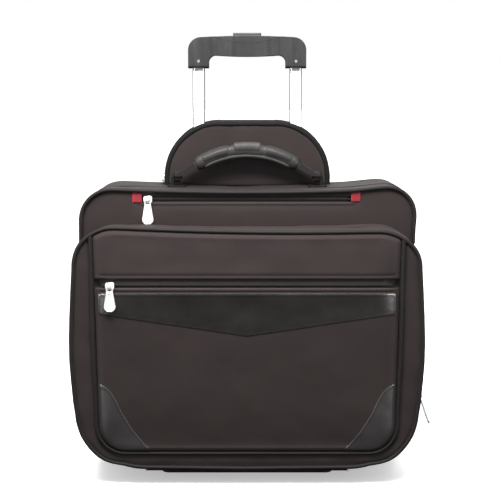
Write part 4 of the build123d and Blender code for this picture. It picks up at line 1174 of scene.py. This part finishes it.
# ---------------- laptop sleeve, inside the case
SLEEVE_HALF, SLEEVE_LOW, SLEEVE_HIGH, SLEEVE_R = 184.0, 75.0, 290.0, 12.0
SLEEVE_Y, SLEEVE_BACK = 14.0, 46.6
u_path = np.array(
    [(-SLEEVE_HALF, SLEEVE_HIGH)]
    + fillet_corner((-SLEEVE_HALF, SLEEVE_LOW), (0, -1), (1, 0), SLEEVE_R)
    + fillet_corner((SLEEVE_HALF, SLEEVE_LOW), (1, 0), (0, 1), SLEEVE_R)
    + [(SLEEVE_HALF, SLEEVE_HIGH)]
)
sleeve_loop = resample(u_path, 5.0)
sleeve_wall = resample(u_path, 5.0, closed=False)
flat, tris = net(sleeve_loop, 6.0, (1.2, 2.6, 5.0))
d = distance(flat, sleeve_loop)
columns = np.abs((flat[:, 0] + 30) % 60 - 30)
quilted = 3.2 * crown(d, 8.0) * (0.45 + 0.55 * crown(columns, 14.0))
sleeve_bits = [
    lift("sleeve_front", flat, tris, SLEEVE_Y + 4.0 - quilted, np.clip(1 - d / 4, 0, 1)),
    lift("sleeve_inside", flat, tris[:, ::-1], SLEEVE_Y + 4.4),
    sweep("sleeve_wall", sleeve_wall, gusset_profile(18.2, SLEEVE_BACK, 0.6, 9)),
    sweep("sleeve_wall_inside", sleeve_wall, [(-3.6, 18.4), (-3.9, 32.0), (-3.6, SLEEVE_BACK)]),
]
for piece in sleeve_bits:
    finish_piece(piece, lining)
finish_piece(join("laptop_sleeve_padded", sleeve_bits), lining, "case", "laptop_sleeve")
top_edge = np.array([(x, SLEEVE_HIGH) for x in np.linspace(SLEEVE_HALF - 0.5, 0.5 - SLEEVE_HALF, 90)])
FOLDED_TAPE = [(-5.5, 13.6), (-1.0, 12.9), (0.9, 14.6), (1.1, 16.4), (0.6, 18.6), (-5.5, 19.0)]
finish_piece(sweep("sleeve_binding", top_edge, FOLDED_TAPE), dark_binding_and_painted_shade, "case")
seams = [
    stitches(f"sleeve_seam_{x}", [(x, SLEEVE_Y + 2.4, z) for z in np.arange(84, 282, STITCH_STEP)])
    for x in range(-150, 151, 60)
]
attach(join("sleeve_stitches", seams), "case")

# ---------------- the button's return spring
coil = NODES["button_spring"].data
spring_wire = add_object("button_spring_wire", coil.copy())
finish_piece(spring_wire, steel, "trolley_upper", "button_spring")
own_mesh(spring_wire)

CAD_LOOKS = (
    (tube_metal, ("outer_tubes", "middle_tubes", "upper_tubes")),
    (grip_plastic, ("tube_plugs",)),
    (steel, ("push_rods", "grip_screws", "axles", "bearings_left", "bearings_right")),
    (base_plastic, ("trolley_base",)),
    (board_cloth, ("divider_board",)),
)
for material, nodes in CAD_LOOKS:
    for node in nodes:
        finish_piece(NODES[node], material)


# ---------------- zip sliders and pulls
def rounded_loop(points, radius, count=5):
    """A polygon with its corners rounded, except the hollow ones."""
    pts = [np.array(p, float) for p in points]
    out = []
    for i, p in enumerate(pts):
        a, b = pts[i - 1], pts[(i + 1) % len(pts)]
        r = radius[i] if hasattr(radius, "__len__") else radius
        turn = (p - a)[0] * (b - p)[1] - (p - a)[1] * (b - p)[0]
        out += fillet_corner(p, p - a, b - p, r, count) if turn > 0 else [p]
    return np.array(out)


def of_metal(pieces, body, node):
    """Makes the first piece the node's stand-in, with the others as its children."""
    for p in pieces[1:]:
        finish_piece(p, chrome).parent = pieces[0]
    finish_piece(pieces[0], chrome, body, node)


def make_slider(node, centre, along, out, body, hangs_across=True):
    """Two shaped plates, a post and a bridge for the pull."""
    along, out, centre = Vector(along), Vector(out), Vector(centre)
    across = out.cross(along)
    name = f"{node}_metal"
    shape = rounded_loop([(-5.4, -3.4), (3.0, -4.7), (5.4, -3.8), (5.4, 3.8), (3.0, 4.7), (-5.4, 3.4)], 2.0)
    post = rounded_loop([(2.2, -1), (4.6, -1), (4.6, 1), (2.2, 1)], 0.5)
    ridge = rounded_loop([(-5.2, 3.0), (5.2, 3.0), (4.6, 6.6), (2.4, 7.6), (-2.4, 7.6), (-4.6, 6.6)], 0.8)
    window = rounded_loop([(-2.2, 3.2), (2.2, 3.2), (2.2, 6.3), (-2.2, 6.3)], 0.4)
    span = -across if hangs_across else along
    pieces = [
        plate(f"{name}_plate_0", shape, 1.3, centre + out * 2.5, along, across),
        plate(f"{name}_plate_1", shape, 1.3, centre - out * 2.5, along, across),
        plate(f"{name}_post", post, 4.0, centre, along, across, 0.2),
        plate(f"{name}_bridge", ridge * [0.6, 1], 3.2, centre, span, out, 0.5, window),
    ]
    of_metal(pieces, body, node)


def make_pull(node, pin, out, hang=(0, 0, -1), length=31):
    """A tapered pull with a window at its top, a raised rim and a small turned-up tip."""
    hang, out, pin = Vector(hang), Vector(out), Vector(pin)
    across = out.cross(hang)
    name = f"{node}_metal"
    shape = rounded_loop(
        [(0.95, -4.3), (0.95, 4.3), (-7, 4.0), (6 - length, 7.0), (-length, 7.0)]
        + [(-length, -7.0), (6 - length, -7.0), (-7, -4.0)],
        [1.8, 1.8, 3, 2.0, 6.0, 6.0, 2.0, 3],
        8,
    )
    window = rounded_loop([(-5.6, -2.7), (-0.7, -2.7), (-0.7, 2.7), (-5.6, 2.7)], 1.1)
    rim = rounded_loop([(-8.4, -3.4), (-8.4, 3.4), (2.4 - length, 5.2), (2.4 - length, -5.2)], 2.6, 7)
    inner = rounded_loop([(-9.4, -2.6), (-9.4, 2.6), (3.5 - length, 4.2), (3.5 - length, -4.2)], 2.0, 7)
    tip = rounded_loop([(-3.9, 0.6), (3.9, 0.6), (3.4, 4.0), (-3.4, 4.0)], 1.0)
    pieces = [
        plate(f"{name}_face", shape, 1.7, pin, -hang, across, 0.7, window),
        plate(f"{name}_rim", rim, 0.5, pin + out * 1.0, -hang, across, 0.2, inner, 2),
        plate(f"{name}_tip", tip, 1.5, pin + hang * (length - 0.9), across, out),
    ]
    of_metal(pieces, node, node)


PIN_OUT = 4.5  # from the slider's middle to the pull's pin
COIL_MID = 1.5  # how far the coil's middle lies inside the outline
for name, x, y, z in (("top", -124, -34.5, TOP_ZIP), ("front", -166, -96.5, 251)):
    make_slider(f"{name}_slider", (x, y, z), (1, 0, 0), (0, -1, 0), f"{name}_slider")
    make_pull(f"{name}_pull", (x, y - PIN_OUT, z), (0, -1, 0))
LEAN = math.radians(19)  # of the organizer's lower pull
SIDE_ZIPS = (
    # name, side, outline, depth, height, body of the slider
    ("organizer_low", 1, POCKET, ORGANIZER_ZIP_Y, 105.5, "main_lid"),
    ("organizer_high", 1, POCKET, ORGANIZER_ZIP_Y, 121.0, "organizer_high_slider"),
    ("main", -1, CASE, MAIN_ZIP_Y, 118.0, "main_slider"),
    ("garage", -1, DOME, GARAGE_ZIP_Y, 372.0, "case"),
)
for name, side, (half, top_half, bottom, top, *_), y, z, body in SIDE_ZIPS:
    x = side * (half - (half - top_half) / (top - bottom) * (z - bottom) - COIL_MID)
    points_back = name in ("organizer_high", "garage")
    make_slider(f"{name}_slider", (x, y, z), (0, 0, -side), (side, 0, 0), body, points_back)
    pin = (x + side * PIN_OUT, y, z)
    if name == "organizer_low":
        sine, cosine = math.sin(LEAN), math.cos(LEAN)
        make_pull(f"{name}_pull", pin, (cosine, 0, sine), (sine, 0, -cosine), 37)
    else:
        make_pull(f"{name}_pull", pin, (side, 0, 0), (0, 1, 0) if points_back else (0, 0, -1))


# ---------------- carry handle
def arc_at(t):
    """Middle of the handle's arc for t from -1 to 1: (x, z, angle)."""
    half, end_z, top_z = 67.0, 391.0, 411.0
    rise = top_z - end_z
    radius = (half * half + rise * rise) / (2 * rise)
    a = t * math.asin(half / radius)
    return radius * math.sin(a), top_z - radius + radius * math.cos(a), a


def superellipse(c, size, power):
    return math.copysign(abs(c) ** (2 / power), c) * size


def handle_body(name, t0, t1, half_high, half_deep, shift, material, rows=60, power=2.6, sides=28):
    """A moulded length of the handle, with a superellipse section that changes along it."""
    verts = []
    for k in range(rows):
        t = t0 + (t1 - t0) * k / (rows - 1)
        x, z, a = arc_at(t)
        end = min(k, rows - 1 - k) / (rows - 1)
        round_off = float(crown(np.array(end), 0.06))
        high = (half_high(t) if callable(half_high) else half_high) * (0.55 + 0.45 * round_off)
        deep = (half_deep(t) if callable(half_deep) else half_deep) * (0.7 + 0.3 * round_off)
        up = np.array([math.sin(a), 0, math.cos(a)])
        centre = np.array([x, 28.0, z]) + up * shift
        for b in (TWO_PI * s / sides for s in range(sides)):
            depth = np.array([0, superellipse(math.cos(b), deep, power), 0])
            verts.append(centre + depth + up * superellipse(math.sin(b), high, power))
    faces = grid_faces(rows, sides, closed=True)
    faces.append(list(range(sides)))
    faces.append([(rows - 1) * sides + s for s in range(sides)][::-1])
    return finish_piece(mesh_object(name, verts, faces), material)


def waist(t):
    """The groove between the handle's pad and its lobes."""
    return math.exp(-(((abs(t) - 0.3) / 0.05) ** 2))


def lobe_high(t):
    return 7.2 - 2.2 * abs(abs(t) - 0.45)


def lobe_deep(t):
    return 12.2 - 2.0 * abs(abs(t) - 0.5)


core = handle_body(
    "handle_core", -1.0, 1.0, lambda t: 9.6 - 1.2 * waist(t), lambda t: 11.0 - 0.8 * waist(t), -1.0,
    handle_rubber, 90,
)
bits = [handle_body("handle_pad", -0.24, 0.24, 6.6, 12.2, 3.2, handle_pad, 40, 3.2)]
lobes = [
    handle_body(f"handle_lobe_{s}", s * 0.33, s * 0.84, lobe_high, lobe_deep, 0.4, handle_rubber, 40, 2.8)
    for s in (-1, 1)
]
ribs = [
    handle_body(f"handle_rib_{k}", t - 0.012, t + 0.012, 4.6, 12.9, 3.2, handle_pad, 8, 3.0)
    for k, t in enumerate(np.linspace(-0.19, 0.19, 7))
]
bits.append(handle_body("handle_under", -0.88, 0.88, 3.4, 10.2, -8.0, handle_under, 60, 3.0))
handle = join("handle_grip_rubber", [core] + bits + lobes + ribs)
finish_piece(handle, None, "carry_handle", "handle_grip")

# ---------------- stage, light and camera
WHITE = (1, 1, 1)
floor_mesh = bpy.data.meshes.new("floor")
bm = bmesh.new()
bmesh.ops.create_grid(bm, x_segments=2, y_segments=2, size=60)
bm.to_mesh(floor_mesh)
bm.free()
floor = add_object("floor", floor_mesh)
floor.location.z = -0.0002
pale = Shader("pale_floor")
paper = pale.ramp(pale.noise(pale.place(False), 3, 2), 0.2, 0.8, (0.93, 0.93, 0.93), (0.95, 0.95, 0.95))
pale.done(Base_Color=paper, Roughness=0.9, Emission_Strength=0.4, Emission_Color=WHITE)
floor.data.materials.append(pale.owner)
floor.visible_diffuse = False
floor.visible_glossy = False

# The world lights more from above, and the camera sees it white.
world = bpy.data.worlds.new("studio")
bpy.context.scene.world = world
studio = Shader("studio", world)
ambient = studio.tree.nodes["Background"]
way = studio.node("ShaderNodeTexCoord").outputs["Generated"]
up = studio.node("ShaderNodeSeparateXYZ", Vector=way).outputs[2]
sky = studio.node("ShaderNodeMapRange", From_Min=-0.1, From_Max=1.0, To_Min=0.06, To_Max=1.0, Value=up)
studio.put(ambient, "Color", WHITE)
studio.put(ambient, "Strength", sky.outputs[0])
backdrop = studio.node("ShaderNodeBackground", Color=WHITE)
choice = studio.node("ShaderNodeMixShader")
seen = studio.node("ShaderNodeLightPath").outputs["Is Camera Ray"]
for key, value in enumerate((seen, ambient.outputs[0], backdrop.outputs[0])):
    studio.put(choice, key, value)
studio.put(studio.tree.nodes["World Output"], 0, choice.outputs[0])

sun_data = bpy.data.lights.new("overhead", "SUN")
sun_data.energy = 2.0
sun_data.angle = 0.9
add_object("overhead", sun_data).rotation_euler = (math.radians(-2), 0, 0)


def area_light(name, place, target, size, power):
    light = bpy.data.lights.new(name, "AREA")
    light.shape = "RECTANGLE"
    light.size, light.size_y = size
    light.energy = power
    obj = add_object(name, light)
    obj.location = place
    obj.rotation_euler = (Vector(target) - Vector(place)).to_track_quat("-Z", "Y").to_euler()
    return obj


area_light("key", (-0.1, -0.5, 0.93), (0, -0.06, 0.34), (0.8, 0.3), 19)
for side in (-1, 1):
    area_light(f"strip_{side}", (side * 1.5, -0.85, 0.45), (side * 0.1, -0.1, 0.3), (0.3, 0.9), 5)
    gloss = area_light(f"gloss_{side}", (side * 1.0, -1.3, 0.42), (side * 0.17, -0.1, 0.22), (0.1, 0.42), 12)
    gloss.visible_diffuse = False
area_light("back", (0.2, 1.2, 1.1), (0, 0, 0.35), (1.2, 0.6), 8)

camera_data = bpy.data.cameras.new("camera")
camera_data.lens = 89.06
camera_data.sensor_width = 36
camera = add_object("camera", camera_data)
camera.location = (0.0037, -1.578, 0.474)
camera.rotation_euler = (math.radians(83.1), 0, 0)
bpy.context.scene.camera = camera

for piece in bpy.data.objects:
    if piece.name in FRONT_PIECES:
        warp_front(piece)
    if piece.name in REAR_PIECES:
        warp_back(piece)
